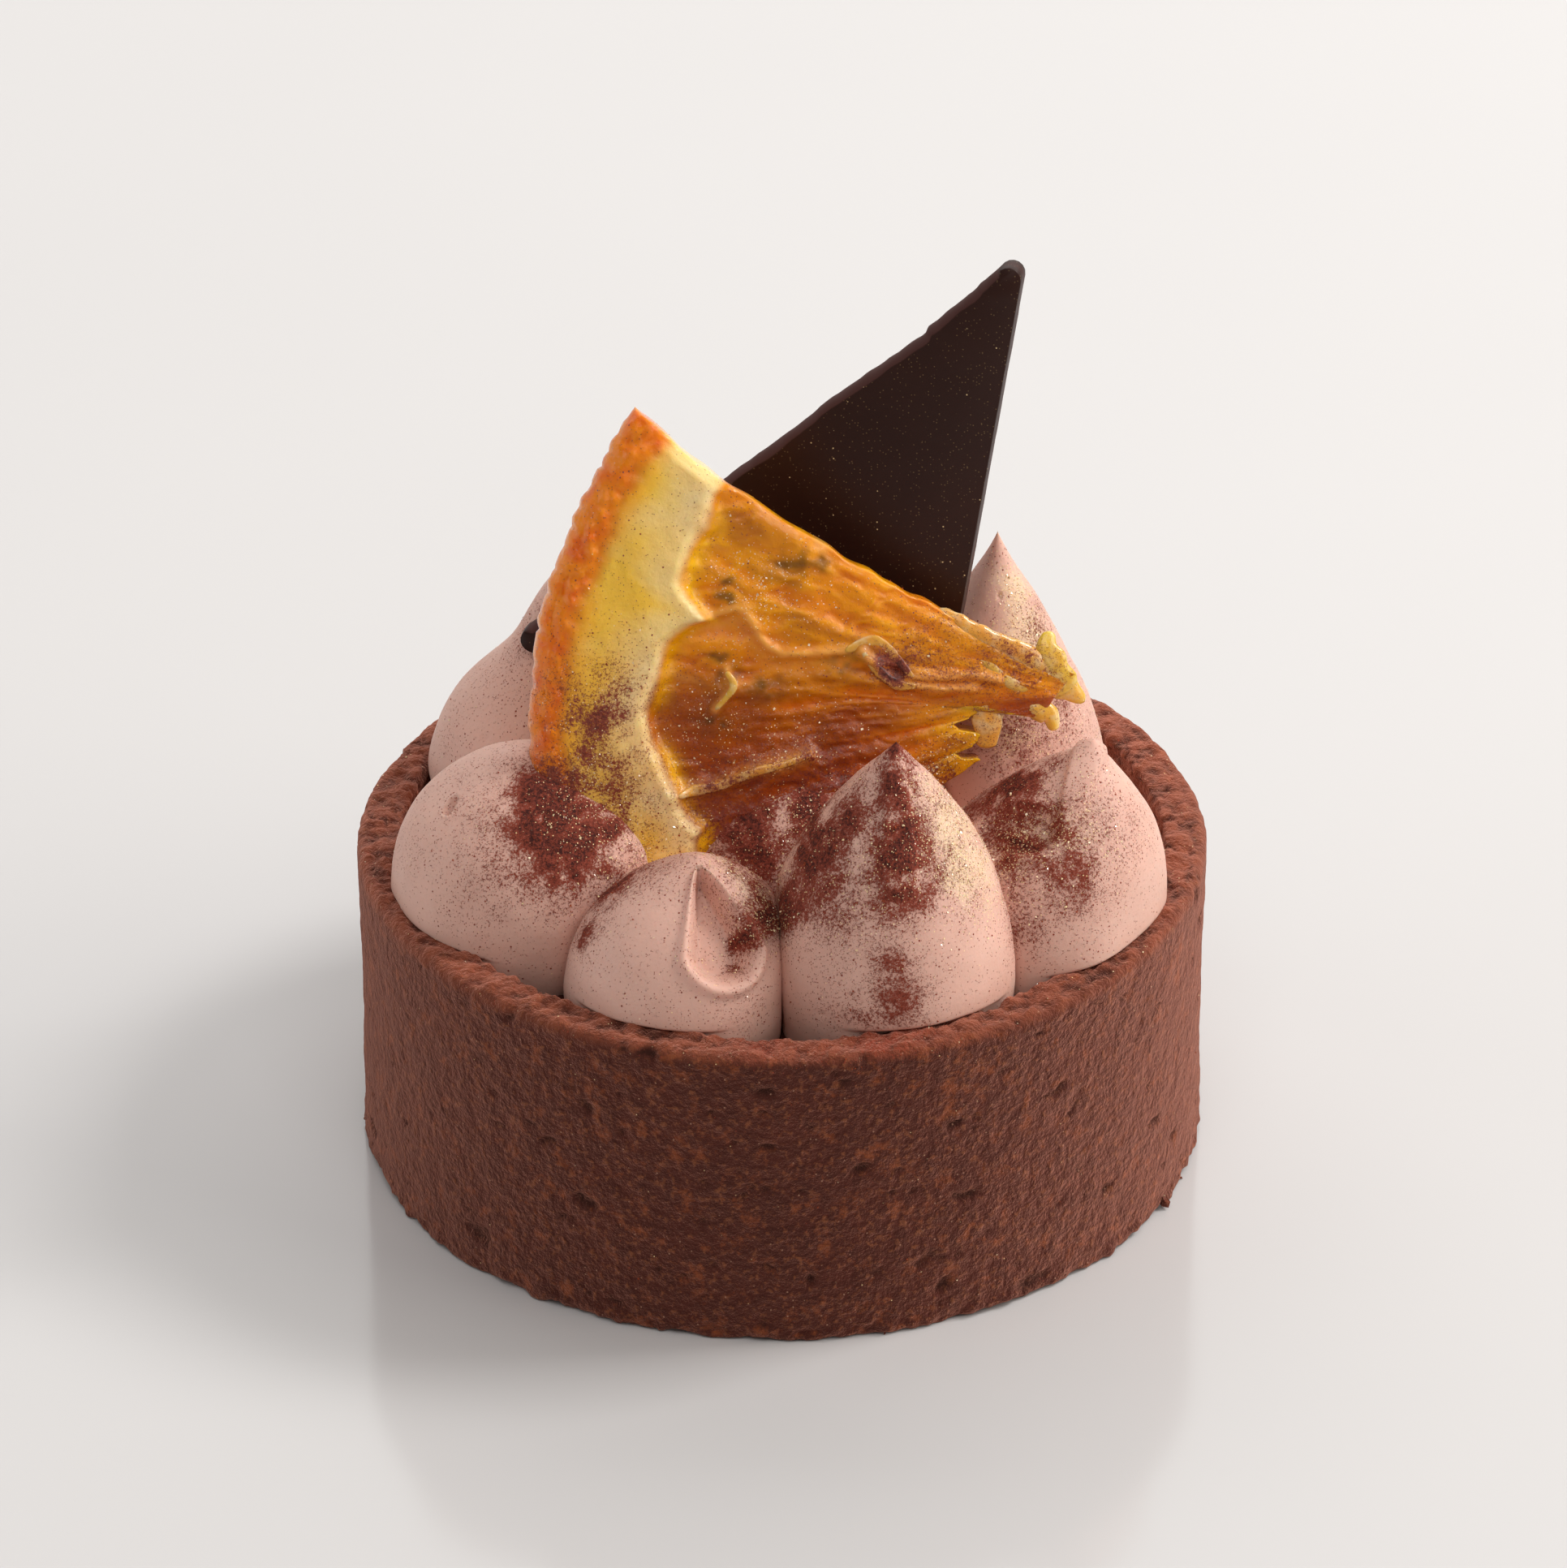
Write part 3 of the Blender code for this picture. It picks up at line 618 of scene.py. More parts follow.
def case_section():
    """(radius, height) points from the middle of the underside, up the outside, over the rim and down in."""
    lip = 0.9
    under = [(r, 0.0) for r in (10.0, 20.0, 27.0, 30.0, 31.2, TART_RADIUS - 0.5)]
    foot = [(TART_RADIUS - 0.5 + 0.5 * math.sin(a), 0.5 - 0.5 * math.cos(a)) for a in (0.5, 1.0, math.pi / 2)]
    wall = [(TART_RADIUS, z) for z in np.linspace(0.8, TART_HEIGHT - lip - 0.3, WALL_ROWS)]
    turn = np.linspace(0, math.pi / 2, 6)
    outer_lip = [(TART_RADIUS - lip + lip * math.cos(a), TART_HEIGHT - lip + lip * math.sin(a)) for a in turn]
    top = [(r, TART_HEIGHT) for r in np.linspace(TART_RADIUS - lip - 0.28, INNER_RADIUS + 0.55, 7)]
    bend = [(0.5 - 0.5 * math.sin(a), 0.5 * math.cos(a) - 0.5) for a in (0.5, 1.1)]
    inner_lip = [(INNER_RADIUS + r, TART_HEIGHT + z) for r, z in bend]
    inside = [(INNER_RADIUS, z) for z in np.linspace(TART_HEIGHT - 0.6, FILLING_TOP - 0.6, 13)]
    below = [(INNER_RADIUS, 12.0), (INNER_RADIUS, CASE_FLOOR), (15.0, CASE_FLOOR), (0.05, CASE_FLOOR)]
    return np.array(under + foot + wall + outer_lip + top + inner_lip + inside + below)


def pastry_case(material):
    section = case_section()
    angle = np.linspace(0, 2 * math.pi, CASE_COLUMNS, endpoint=False)
    radius = section[:, :1] + 0 * angle
    height = section[:, 1:] + 0 * angle
    outside = (radius > TART_RADIUS - 1.7) & (height > 0.3)
    inside = (radius < TART_RADIUS - 1.7) & (height > FILLING_TOP - 1)
    share = height / TART_HEIGHT
    dip = WALL_WAVE * 0.5 * (1 + baked_wave(angle, 2)) * share * (1 - share) * 4
    swell = WALL_WAVE * 0.5 * (1 + baked_wave(angle, 5))
    radius = radius - np.where(outside, dip, 0) - np.where(inside, swell, 0)
    height = height + RIM_WAVE * np.clip(share - 0.5, 0, 1) * 2 * baked_wave(angle, 1)
    grid = np.stack([radius * np.cos(angle), radius * np.sin(angle), height], axis=-1)
    normals = grid_normals(grid, True)

    # How far each point is on the wall, on the rim or near the foot.
    on_rim = smooth_step(height, TART_HEIGHT - 1.2, TART_HEIGHT - 0.2)
    on_rim = np.maximum(on_rim, np.where(inside, 1.0, 0.0))
    near_foot = smooth_step(height, 2.2, 0.2) * (radius > TART_RADIUS - 1)
    shown = smooth_step(radius, 28.0, 29.0) * (height > 0.05)

    # The wall: slow lumps, the grain of the crumb, and pits where butter melted out.
    lumpy = 0.13 * layered_noise(grid, (5.0, 5.0, 3.5), 11, 3)
    grain = 0.10 * layered_noise(grid, 1.3, 23, 3, 0.7)
    shift = np.stack([noise(grid, 1.4, 5), noise(grid, 1.4, 6), 0.6 * noise(grid, 1.4, 7)], axis=-1)
    bent = grid + 0.9 * shift
    distance, number = pebbles(bent, (3.4, 3.4, 1.9), 31)
    pit = smooth_step(0.34 - distance, 0.0, 0.22) * (number < 0.16)
    small_distance, small_number = pebbles(bent, (1.5, 1.5, 0.9), 41)
    small_pit = smooth_step(0.36 - small_distance, 0.0, 0.2) * (small_number < 0.12)
    move = lumpy + grain - 0.36 * pit - 0.20 * small_pit

    # The rim broke unevenly when it was trimmed: crumbly lumps with creases between them.
    crumb_distance, crumb_number = pebbles(grid + 0.7 * noise(grid, 1.1, 8)[..., None], (1.4, 1.4, 1.0), 53)
    fine_distance, _ = pebbles(grid + 0.3 * noise(grid, 0.7, 9)[..., None], 0.85, 57)
    crumbly = 0.55 * (0.42 - crumb_distance) + 0.35 * (crumb_number - 0.5) + 0.25 * (0.45 - fine_distance)
    crease = smooth_step(crumb_distance, 0.50, 0.78) * (0.5 + 0.5 * crumb_number)
    inner_side = smooth_step(TART_RADIUS - radius, 0.3, 1.1)
    move = move + on_rim * (0.30 + 0.70 * inner_side) * crumbly
    move = move + near_foot * 0.5 * layered_noise(grid, (1.3, 1.3, 0.8), 71, 2)
    grid = grid + normals * (move * shown)[..., None]
    ragged = 0.12 * (1 + noise(grid, (1.2, 1.2, 9), 77))
    grid[..., 2] = np.maximum(grid[..., 2], np.where(near_foot > 0, ragged, 0.0))

    # Painted shade in the pits and in the rim's creases, which the material paints darker.
    hollow = np.clip(0.85 * pit + 0.7 * small_pit + 0.75 * crease * on_rim * inner_side, 0, 1) * shown
    edge = on_rim * np.clip(0.75 + 0.9 * (0.45 - crumb_distance), 0, 1) * (1 - hollow)
    cocoa = cocoa_on(grid, normals, least=0.04) * (on_rim + 0.1)
    points = np.vstack([grid.reshape(-1, 3), [[0, 0, 0], [0, 0, CASE_FLOOR]]])
    size = len(section), CASE_COLUMNS
    faces = tube_faces(*size) + pointed_ends(*size)
    marks = {"hollow": hollow, "edge": edge, "cocoa": cocoa, "gold": gold_on(grid, normals)}
    marks = {name: np.append(values.ravel(), [0.0, 0.0]) for name, values in marks.items()}
    piece = make_piece("pastry_case", points, faces, material, marks, ["tart_case"])
    return piece, grid, normals


# ---------------------------------------------------------------- piped cream

# Marks left in the cream: grooves and ridges with round ends. start and end: its two ends; width: half its
# width at each; depth: how deep it is, or high if negative; lip: how far the cream stands up round it.
Mark = namedtuple("Mark", "kiss start end width depth lip")
MARKS = [
    Mark("cream_front_left", (-6.0, -20.6, 34.0), (-4.2, -25.9, 30.4), (0.45, 2.9), 2.1, 0.40),
    Mark("cream_front_left", (-9.9, -27.0, 25.9), (-9.7, -27.0, 26.1), (0.45, 0.45), 0.30, 0.03),
    Mark("cream_left", (-24.9, -11.1, 33.4), (-24.7, -10.6, 34.1), (0.55, 0.50), 0.55, 0.06),
    Mark("cream_left", (-19.4, -19.2, 28.2), (-19.3, -19.2, 28.4), (0.28, 0.28), 0.25, 0.02),
    Mark("cream_right", (19.4, -18.0, 33.7), (20.3, -16.8, 35.3), (0.50, 0.30), 0.60, 0.12),
    Mark("cream_right", (15.6, -14.6, 34.2), (18.5, -15.9, 34.8), (2.6, 2.2), 0.60, 0.10),
    Mark("cream_right", (23.0, -10.4, 38.2), (20.6, -17.6, 34.6), (1.5, 1.0), -0.45, 0.0),
    Mark("cream_front_right", (8.4, -20.4, 42.4), (8.6, -25.4, 36.0), (1.1, 1.6), -0.30, 0.0),
    Mark("cream_front_right", (2.6, -27.6, 25.6), (2.8, -27.6, 25.7), (0.30, 0.30), 0.25, 0.02),
]
# Over the rim a kiss may bulge out by RIM_SLOPE of its height above the rim, and ROOM_ON_RIM at most.
ROOM_ON_RIM = 2.2
RIM_SLOPE = 4.0
# Where two kisses meet they press into each other a little.
PRESSED = 0.05


def marks_on(kiss_name, points):
    """How far the marks move the cream out at points."""
    move = np.zeros(points.shape[:-1])
    for one in MARKS:
        if one.kiss != kiss_name:
            continue
        start, end = np.array(one.start), np.array(one.end)
        along = end - start
        share = np.clip((points - start) @ along / (along @ along), 0, 1)
        width = one.width[0] + (one.width[1] - one.width[0]) * share
        distance = np.linalg.norm(points - start - share[..., None] * along, axis=-1) / width
        move -= one.depth * smooth_step(distance, 1.0, 0.6)
        move += one.lip * hump(distance - 1.1, 0.16)
    return move


def kiss_surface(kiss, height, angle):
    """Points of a kiss for height shares down the rows and bearings along the columns."""
    share = np.cos(math.pi / 2 * height**kiss.flare) ** kiss.thin
    share = share * (1 - kiss.waist * hump(height - WAIST_HEIGHT, WAIST_SPREAD))
    share = share * (1 - FOOT_TUCK * np.clip(1 - height / TUCK_SHARE, 0, 1) ** 2)
    foot = np.array([kiss.x, kiss.y])
    centre = foot + np.array([kiss.lean_x, kiss.lean_y]) * (height**2)[:, None]
    direction = np.stack([np.cos(angle), np.sin(angle)], axis=-1)
    z = CREAM_FOOT + height * kiss.height
    radius = kiss.radius * share[:, None] + 0 * angle
    softness = 0.30 * np.maximum(share, 0.05)[:, None]

    rooms = []
    for other in KISSES:
        if other is kiss:
            continue
        between = np.array([other.x, other.y]) - foot
        spacing = np.linalg.norm(between)
        normal = between / spacing
        facing = direction @ normal
        contact = (spacing**2 + kiss.radius**2 - other.radius**2) / (2 * spacing) + PRESSED
        offset = (centre - foot) @ normal
        room = (contact - offset[:, None]) / np.where(facing > 0.02, facing, 1.0)
        rooms.append(np.where(facing > 0.02, room, 1e3))
    above_rim = np.maximum(0, z - TART_HEIGHT + RIM_WAVE)
    limit = INNER_RADIUS - WALL_WAVE + np.minimum(ROOM_ON_RIM, RIM_SLOPE * above_rim)
    along = centre @ direction.T
    squared = along**2 + (limit**2)[:, None] - np.sum(centre**2, axis=1)[:, None]
    rooms.append(np.sqrt(squared) - along)
    # Each room holds the radius in, with a soft bend where the two cross.
    for room in rooms:
        low = np.minimum(radius, room)
        spread = sum(np.exp(np.clip((low - edge) / softness, -50, 0)) for edge in (radius, room))
        radius = np.maximum(0.0, np.minimum(radius, low - softness * np.log(spread)))
    flat = centre[:, None, :] + radius[..., None] * direction
    return np.concatenate([flat, (z[:, None] + 0 * radius)[..., None]], axis=-1)


def cream_kiss(kiss, rows, columns, material):
    """A kiss piped with a round nozzle. The cream is smooth, with soft swells, bubbles and marks."""
    height = np.concatenate([np.linspace(0, 0.93, rows - 8, endpoint=False), np.linspace(0.93, 0.998, 8)])
    angle = np.linspace(0, 2 * math.pi, columns, endpoint=False)
    grid = kiss_surface(kiss, height, angle)
    normals = grid_normals(grid, True)
    seed = KISSES.index(kiss) * 7
    swell = 0.16 * layered_noise(grid, 4.5, 100 + seed, 2)
    fine = 0.018 * layered_noise(grid, 0.8, 110 + seed, 2)
    bubble_distance, bubble_number = pebbles(grid, 2.6, 120 + seed)
    bubble = smooth_step(0.12 - bubble_distance, 0.0, 0.06) * (bubble_number < 0.22)
    near_tip = smooth_step(height, 1.0, 0.9)[:, None]
    cocoa = cocoa_on(grid, normals, least=0.07)
    caked = 0.10 * smooth_step(cocoa, 0.45, 0.9) * (0.6 + layered_noise(grid, 0.7, 130, 2))
    move = (swell + fine + caked - 0.16 * bubble) * near_tip + marks_on(kiss.name, grid)
    grid = grid + normals * move[..., None]
    tip = grid[-1].mean(axis=0) + (0, 0, 0.12)
    points = np.vstack([grid.reshape(-1, 3), [[kiss.x, kiss.y, CREAM_FOOT]], [tip]])
    faces = tube_faces(rows, columns) + pointed_ends(rows, columns)
    marks = {"cocoa": np.append(cocoa.ravel(), [0.0, cocoa[-1].mean()])}
    marks["gold"] = np.append(gold_on(grid, normals).ravel(), [0.0, 0.0])
    piece = make_piece("kiss_" + kiss.name[6:], points, faces, material, marks, [kiss.name])
    return piece, grid, normals


# ---------------------------------------------------------------- candied orange

ORANGE_MARKS = ("fibre", "depth", "bruise", "glow", "ochre", "pale", "pith", "membrane", "rind")
# How finely the slice is divided: rows towards the peel, the last PEEL_ROWS of them close together, columns
# from cut to cut on each face, and columns over each cut.
WEDGE_ROWS = 236
PEEL_ROWS = 26
WEDGE_COLUMNS = 136
CUT_COLUMNS = 4


def wedge_axes():
    """Across towards the point, up along the slice, and out of its front."""
    across = np.array([math.cos(WEDGE_TURN), math.sin(WEDGE_TURN), 0.0])
    back = np.array([-math.sin(WEDGE_TURN), math.cos(WEDGE_TURN), 0.0])
    up = back * math.sin(WEDGE_LEAN) + np.array([0.0, 0.0, math.cos(WEDGE_LEAN)])
    return across, up, np.cross(across, up)


def on_wedge(to_peel, up_slice, out_front):
    """A place by its distance from the point towards the peel, its height along the slice and its depth."""
    across, up, out = wedge_axes()
    flat = [np.asarray(part, float)[..., None] for part in (to_peel, up_slice, out_front)]
    return WEDGE_POINT - across * flat[0] + up * flat[1] + out * flat[2]


def pith_border(angle):
    """Distance from the point to the pith, by the angle in degrees. Each segment bulges out into the pith."""
    border = [
        (-22, 32.0), (-13, 31.2), (-12, 30.6), (-10, 31.4), (-5, 32.1), (0, 33.2), (5, 33.7), (10, 33.2),
        (14, 32.8), (17, 31.6), (18.5, 30.4), (20.5, 32.4), (22, 33.1), (25, 33.3), (30, 33.0), (34, 33.6),
        (37, 33.4),
    ]
    return np.interp(angle, *zip(*border))


def distance_to_line(x, y, line):
    """Distance in the slice's plane to a line through points."""
    best = np.full(np.shape(x), 1e3)
    line = np.asarray(line, float)
    for start, end in zip(line[:-1], line[1:]):
        along = end - start
        share = np.clip(((x - start[0]) * along[0] + (y - start[1]) * along[1]) / (along @ along), 0, 1)
        distance = np.hypot(x - start[0] - share * along[0], y - start[1] - share * along[1])
        best = np.minimum(best, distance)
    return best


# Lines on the front of the slice, as distances towards the peel and up: the skin between the two segments,
# the loop it makes and where it runs on to the point, a fold low down, and a torn bit of skin.
SEAM = [
    (29.3, 8.7), (28.4, 8.5), (26.8, 9.0), (26.0, 8.6), (25.4, 7.3),
    (24.5, 5.9), (23.4, 5.2), (21.2, 5.1), (18.7, 5.2),
]
SEAM_LOOP = [(18.7, 5.2), (17.0, 5.7), (15.9, 5.5), (14.7, 4.2), (13.4, 2.6)]
LOW_LOOP = [(17.4, 5.1), (16.1, 3.4), (14.9, 2.4), (13.4, 2.1), (11.5, 1.7), (9.0, 1.6)]
MIDDLE_STRIP = [(13.9, 2.9), (11.4, 2.6), (9.0, 2.6), (7.1, 2.1)]
LOW_FOLD = [(31.8, -5.0), (30.5, -4.8), (28.9, -4.6), (27.4, -4.1), (25.8, -3.5), (24.0, -3.2), (21.5, -2.6)]
TEAR = [(27.6, 4.2), (27.2, 3.0), (28.6, 1.4)]
# Strands and flaps that hang at the point: places towards the peel, up, and out of the slice.
UPPER_STRAND = [
    (14.2, 8.3, 0.1), (11.2, 7.0, 0.5), (8.8, 5.8, 0.7), (6.4, 4.4, 0.7),
    (4.2, 2.9, 0.6), (2.0, 1.1, 0.5), (0.4, -0.3, 0.2),
]
BRIGHT_STRAND = [(9.6, 3.9, 0.5), (8.0, 3.4, 0.8), (6.5, 2.0, 0.9), (4.8, 1.0, 0.8), (3.2, 0.5, 0.6)]
TIP_FLAP = [(2.8, 5.3, 0.1), (3.1, 4.3, 0.5), (2.9, 3.0, 0.7), (2.5, 1.6, 0.7), (2.1, 0.4, 0.6)]
TIP_LOBE = [(5.4, 0.0, 0.6), (4.2, -0.5, 0.9), (3.2, -1.0, 0.9), (2.9, -2.2, 0.9)]
DANGLE = [(8.6, 1.8, 0.5), (8.3, 0.5, 0.9), (8.0, -0.7, 1.0), (8.0, -1.9, 1.0), (8.2, -3.2, 0.9)]
DANGLE_SIDE = [(7.4, 1.3, 0.4), (7.1, 0.2, 0.7), (7.2, -0.8, 0.7), (7.8, -1.9, 0.6)]
# Olive-brown spots painted in the flesh, as the painted shade of what lies behind showing through: towards
# the peel, up, and how wide.
SEE_THROUGH_SPOTS = [
    (27.1, 11.0, 0.7), (22.4, 12.0, 1.6), (27.4, 9.8, 1.0), (28.2, 5.2, 0.9), (27.2, 4.0, 1.2),
    (28.7, 0.4, 1.3), (18.7, 4.2, 1.5), (24.6, 2.8, 1.4), (20.2, 12.0, 1.0),
]


def wedge_ring():
    """Once round the slice's section, as turn and side: from the lower cut up the front and down the back.
    turn: 0 at the lower cut and 1 at the upper; side: 1 on the front and -1 on the back."""
    turn = np.linspace(0, 1, WEDGE_COLUMNS)
    over = np.linspace(1, -1, CUT_COLUMNS + 2)[1:-1]
    turns = np.concatenate([turn, np.ones(CUT_COLUMNS), turn[::-1], np.zeros(CUT_COLUMNS)])
    sides = np.concatenate([np.ones(WEDGE_COLUMNS), over, -np.ones(WEDGE_COLUMNS), over[::-1]])
    return turns, sides


def orange_slice(material):
    """The wedge as one closed skin. Gives the piece, its points and normals, and the points of its front as
    distances towards the peel, up and out, for what lies on it."""
    turn, side = wedge_ring()
    to_rind = np.linspace(0, 0.94, WEDGE_ROWS - PEEL_ROWS, endpoint=False)
    over_rind = 1 - 0.06 * np.linspace(1, 0, PEEL_ROWS) ** 1.6
    along = np.concatenate([to_rind, over_rind])[:, None] + 0 * turn
    turn = turn + 0 * along
    side = side + 0 * along
    angle = WEDGE_BOTTOM_ANGLE + (WEDGE_TOP_ANGLE - WEDGE_BOTTOM_ANGLE) * turn
    outline = np.stack([angle * 30, 0 * angle, 0 * angle], axis=-1)
    bead, bead_number = pebbles(outline + np.array([0.0, 0.35, 0.35]), 0.95, 205)
    knobs = 0.34 * layered_noise(outline, 2.6, 200, 2) + 0.55 * (0.35 - bead) * (0.2 + 1.2 * bead_number)
    reach = WEDGE_RADIUS - WEDGE_TOP_TRIM * turn**2 + smooth_step(along, 0.9, 1.0) * knobs

    # The torn end at the point.
    upper = np.clip((turn - STRAND_FROM) / (1 - STRAND_FROM), 0, 1)
    lower = turn / STRAND_FROM
    ragged = 1.1 * noise(np.stack([turn * 30, 0 * turn, 0 * turn], axis=-1), 1.6, 207)
    stranded = smooth_step(turn, STRAND_FROM - 0.08, STRAND_FROM + 0.03)
    start_x = (1.2 + 3.0 * (1 - upper)) * stranded + (9.6 + ragged) * (1 - stranded)
    start_y = (-1.2 + 3.4 * upper) * stranded + (-4.2 + 5.0 * np.minimum(lower, 1)) * (1 - stranded)
    ray_x, ray_y = np.cos(angle), np.sin(angle)
    inner = reach - PITH_DEPTH
    share = np.clip(along / PITH_SHARE, 0, 1)
    from_peel = PITH_DEPTH * (1 - along) / (1 - PITH_SHARE)
    x = np.where(along < PITH_SHARE, start_x + (ray_x * inner - start_x) * share, ray_x * (reach - from_peel))
    y = np.where(along < PITH_SHARE, start_y + (ray_y * inner - start_y) * share, ray_y * (reach - from_peel))
    radius, bearing = np.hypot(x, y), np.degrees(np.arctan2(y, x))
    sag = WEDGE_SAG * 4 * along * (1 - along)
    to_peel, up_slice = x, y - sag

    # Cut edges wander a little.
    plane = np.stack([to_peel, up_slice, 0 * x], axis=-1)
    cut_wander = 0.22 * noise(plane, 1.5, 211) * smooth_step(np.abs(turn - 0.5), 0.46, 0.5)
    up_slice = up_slice + cut_wander

    # Thickness: a spongy pith, thin flesh, a rounded peel.
    wobble = 0.5 * noise(plane, 2.5, 215) + 0.2 * noise(plane, 0.9, 216)
    into_pith = radius - pith_border(bearing) + 0.5 * wobble
    pith = smooth_step(into_pith, -0.25, 0.55)
    half = FLESH_THICK / 2 + (PITH_THICK - FLESH_THICK) / 2 * smooth_step(into_pith, -0.6, 1.0)
    peel_room = 33 * (1 - along)
    half = half * np.sqrt(np.clip(1 - np.clip(1 - peel_room / 2.0, 0, 1) ** 2, 0.004, 1))
    cut_room = np.minimum(turn, 1 - turn) * radius
    half = half * (0.80 + 0.20 * smooth_step(cut_room, 0.0, 0.9))

    # Relief of the front.
    front = side > 0.99
    flesh = 1 - pith
    fibre_place = np.stack([radius / 5.5, bearing / 1.9, 0 * x], axis=-1)
    fibre_place = fibre_place + 0.35 * noise(plane, 4.0, 221)[..., None] * np.array([0.4, 1.0, 0])
    fibre = layered_noise(fibre_place * np.array([1.0, 0.6, 1.0]), 1.0, 223, 3, 0.45)
    strands = 1 - np.abs(noise(fibre_place * np.array([0.7, 1.0, 1]), 1.0, 229)) * 2
    swell = layered_noise(plane, 4.2, 233, 2)
    crumpled_place = plane + 0.8 * noise(plane, 1.7, 235)[..., None] * np.array([0.6, 1.0, 0])
    crumple = 1 - 2.4 * np.abs(layered_noise(crumpled_place, (2.6, 1.3, 1.0), 237, 3, 0.6))
    sacs = layered_noise(crumpled_place, (1.1, 0.6, 1.0), 239, 2)
    calm = 0.3 + 0.7 * smooth_step(radius, 8.0, 18.0)
    fleshy = 0.22 * fibre + 0.06 * strands + 0.42 * swell + 0.13 * crumple + 0.06 * sacs
    relief_front = flesh * calm * fleshy
    pocket = smooth_step(-into_pith, 0.0, 0.9) * hump(np.maximum(-into_pith - 0.9, 0), 3.0)
    relief_front = relief_front - 0.40 * pocket * flesh + 0.02 * hump(into_pith - 0.8, 0.8)
    seams = [distance_to_line(to_peel, up_slice, line) for line in (SEAM, LOW_LOOP, MIDDLE_STRIP)]
    seam = np.min(seams, axis=0)
    fold = distance_to_line(to_peel, up_slice, LOW_FOLD)
    tear = distance_to_line(to_peel, up_slice, TEAR)
    relief_front = relief_front + 0.40 * hump(seam, 0.45) + 0.5 * hump(fold, 0.6)
    relief_front = relief_front + 0.5 * hump(tear, 0.4) * flesh
    relief_front = relief_front + pith * (0.10 * noise(plane, 2.6, 241) + 0.03 * noise(plane, 0.6, 243))
    rind = smooth_step(radius, reach - 3.2 + 0.8 * wobble, reach - 1.9 + 0.8 * wobble)
    pimple, pimple_number = pebbles(np.stack([x, y, side * 0.5 + 0.5], axis=-1), 0.9, 251)
    pimples = 1.6 * (0.42 - pimple) * (0.4 + pimple_number)
    relief_front = relief_front + rind * (0.38 * pimples - 0.25)
    relief_back = flesh * (0.2 * fibre + 0.2 * swell) + 0.1 * noise(plane, 2.6, 261) + rind * 0.2 * pimples
    fade = smooth_step(cut_room, 0.0, 0.5) * smooth_step(peel_room, 0.0, 0.8)
    out = side * half + np.where(front, relief_front, -relief_back) * np.where(np.abs(side) > 0.99, fade, 0)
    cut_bulge = 0.12 * (1 - side**2) * np.where(turn > 0.5, 1, -1)
    grid = on_wedge(to_peel, up_slice + cut_bulge, out)

    # What the material reads: where each tissue is, and how pale or skinned over the flesh is; and light and
    # shade
    # painted on the flesh: darker low down, lighter high up, glowing by the pith, dark where things behind
    # show through, and wet glints among the skins.
    # Painted shade: dark spots where what lies behind the flesh shows through it.
    bruise = np.zeros_like(x)
    for spot_x, spot_y, size in SEE_THROUGH_SPOTS:
        spot = hump(np.hypot(to_peel - spot_x, (up_slice - spot_y) * 1.6), size)
        bruise = np.maximum(bruise, spot * (0.6 + 0.6 * noise(plane, 0.5, 267)))
    high_up = smooth_step(bearing, -8, 30)
    lit_end = hump(radius - 12.0, 3.6) * smooth_step(bearing, 12, 2)
    # Painted light: the flesh is painted bright yellow along the pith's border and near the point, for light
    # shining through it.
    glow = hump(-into_pith - 0.5, 0.9) * smooth_step(-into_pith, -0.3, 0.3)
    glow = glow * np.clip(0.65 + 0.6 * noise(plane, 3.0, 271), 0, 1)
    glow = glow + 0.8 * smooth_step(along, 0.10, 0.0) * (turn < STRAND_FROM)
    under_seam = distance_to_line(to_peel, up_slice + 0.7, SEAM)
    # Painted highlights: pale streaks along the fibres high on the slice, standing for wet glints, mixed into
    # the membrane mark.
    painted_glints = smooth_step(strands + 0.5 * noise(plane, 2.2, 285), 1.0, 1.3) * high_up
    skins = [0.9 * hump(seam, 0.30), 0.30 * hump(under_seam, 0.8), 0.8 * painted_glints, 0.8 * hump(fold, 0.5)]
    skins.append(0.8 * hump(tear, 0.3))
    # Partly fibre, partly painted light: the flesh is painted yellower high on the slice and near the point.
    fibres_and_light = 0.12 + 0.5 * high_up + 0.3 * lit_end + 0.5 * fibre + 0.15 * strands + 0.25 * crumple
    # Painted shade: the flesh is painted deeper orange low on the slice, and less so near the point, where it
    # is painted lit; fibre and swell vary it at random.
    deep = 0.95 - 0.95 * smooth_step(bearing, 2, 17) - 0.7 * lit_end + 0.7 * fibre + 0.4 * swell
    under_rind = 0.95 * smooth_step(radius, reach - 4.3, reach - 2.0)
    marks = {
        "pith": pith,
        "rind": rind,
        "fibre": np.clip(fibres_and_light, 0, 1),
        "depth": np.clip(deep, 0, 0.88),
        "bruise": np.clip(bruise, 0, 0.75),
        "glow": np.clip(glow, 0, 1) * np.where(front, 1, 0.3),
        "ochre": np.clip(under_rind + 0.25 * noise(plane, 3.2, 277), 0, 1),
        "pale": np.clip(1 - smooth_step(into_pith, 0.8, 5.8) + 0.35 * noise(plane, 2.4, 281), 0, 1),
        "membrane": np.clip(np.max(skins, axis=0), 0, 0.75) * flesh,
    }
    normals = grid_normals(grid, True)
    if normals[WEDGE_ROWS // 2, WEDGE_COLUMNS // 2] @ wedge_axes()[2] < 0:
        normals = -normals
    settled = np.where(normals[..., 2:] > 0.05, normals, [0, 0, 1])
    marks["cocoa"] = 0.8 * cocoa_on(grid, settled, least=0.06)
    marks["gold"] = 0.5 * gold_on(grid, settled)
    rows, columns = grid.shape[:2]
    faces = [face[::-1] for face in tube_faces(rows, columns)]
    for row, flip in ((0, False), (rows - 1, True)):
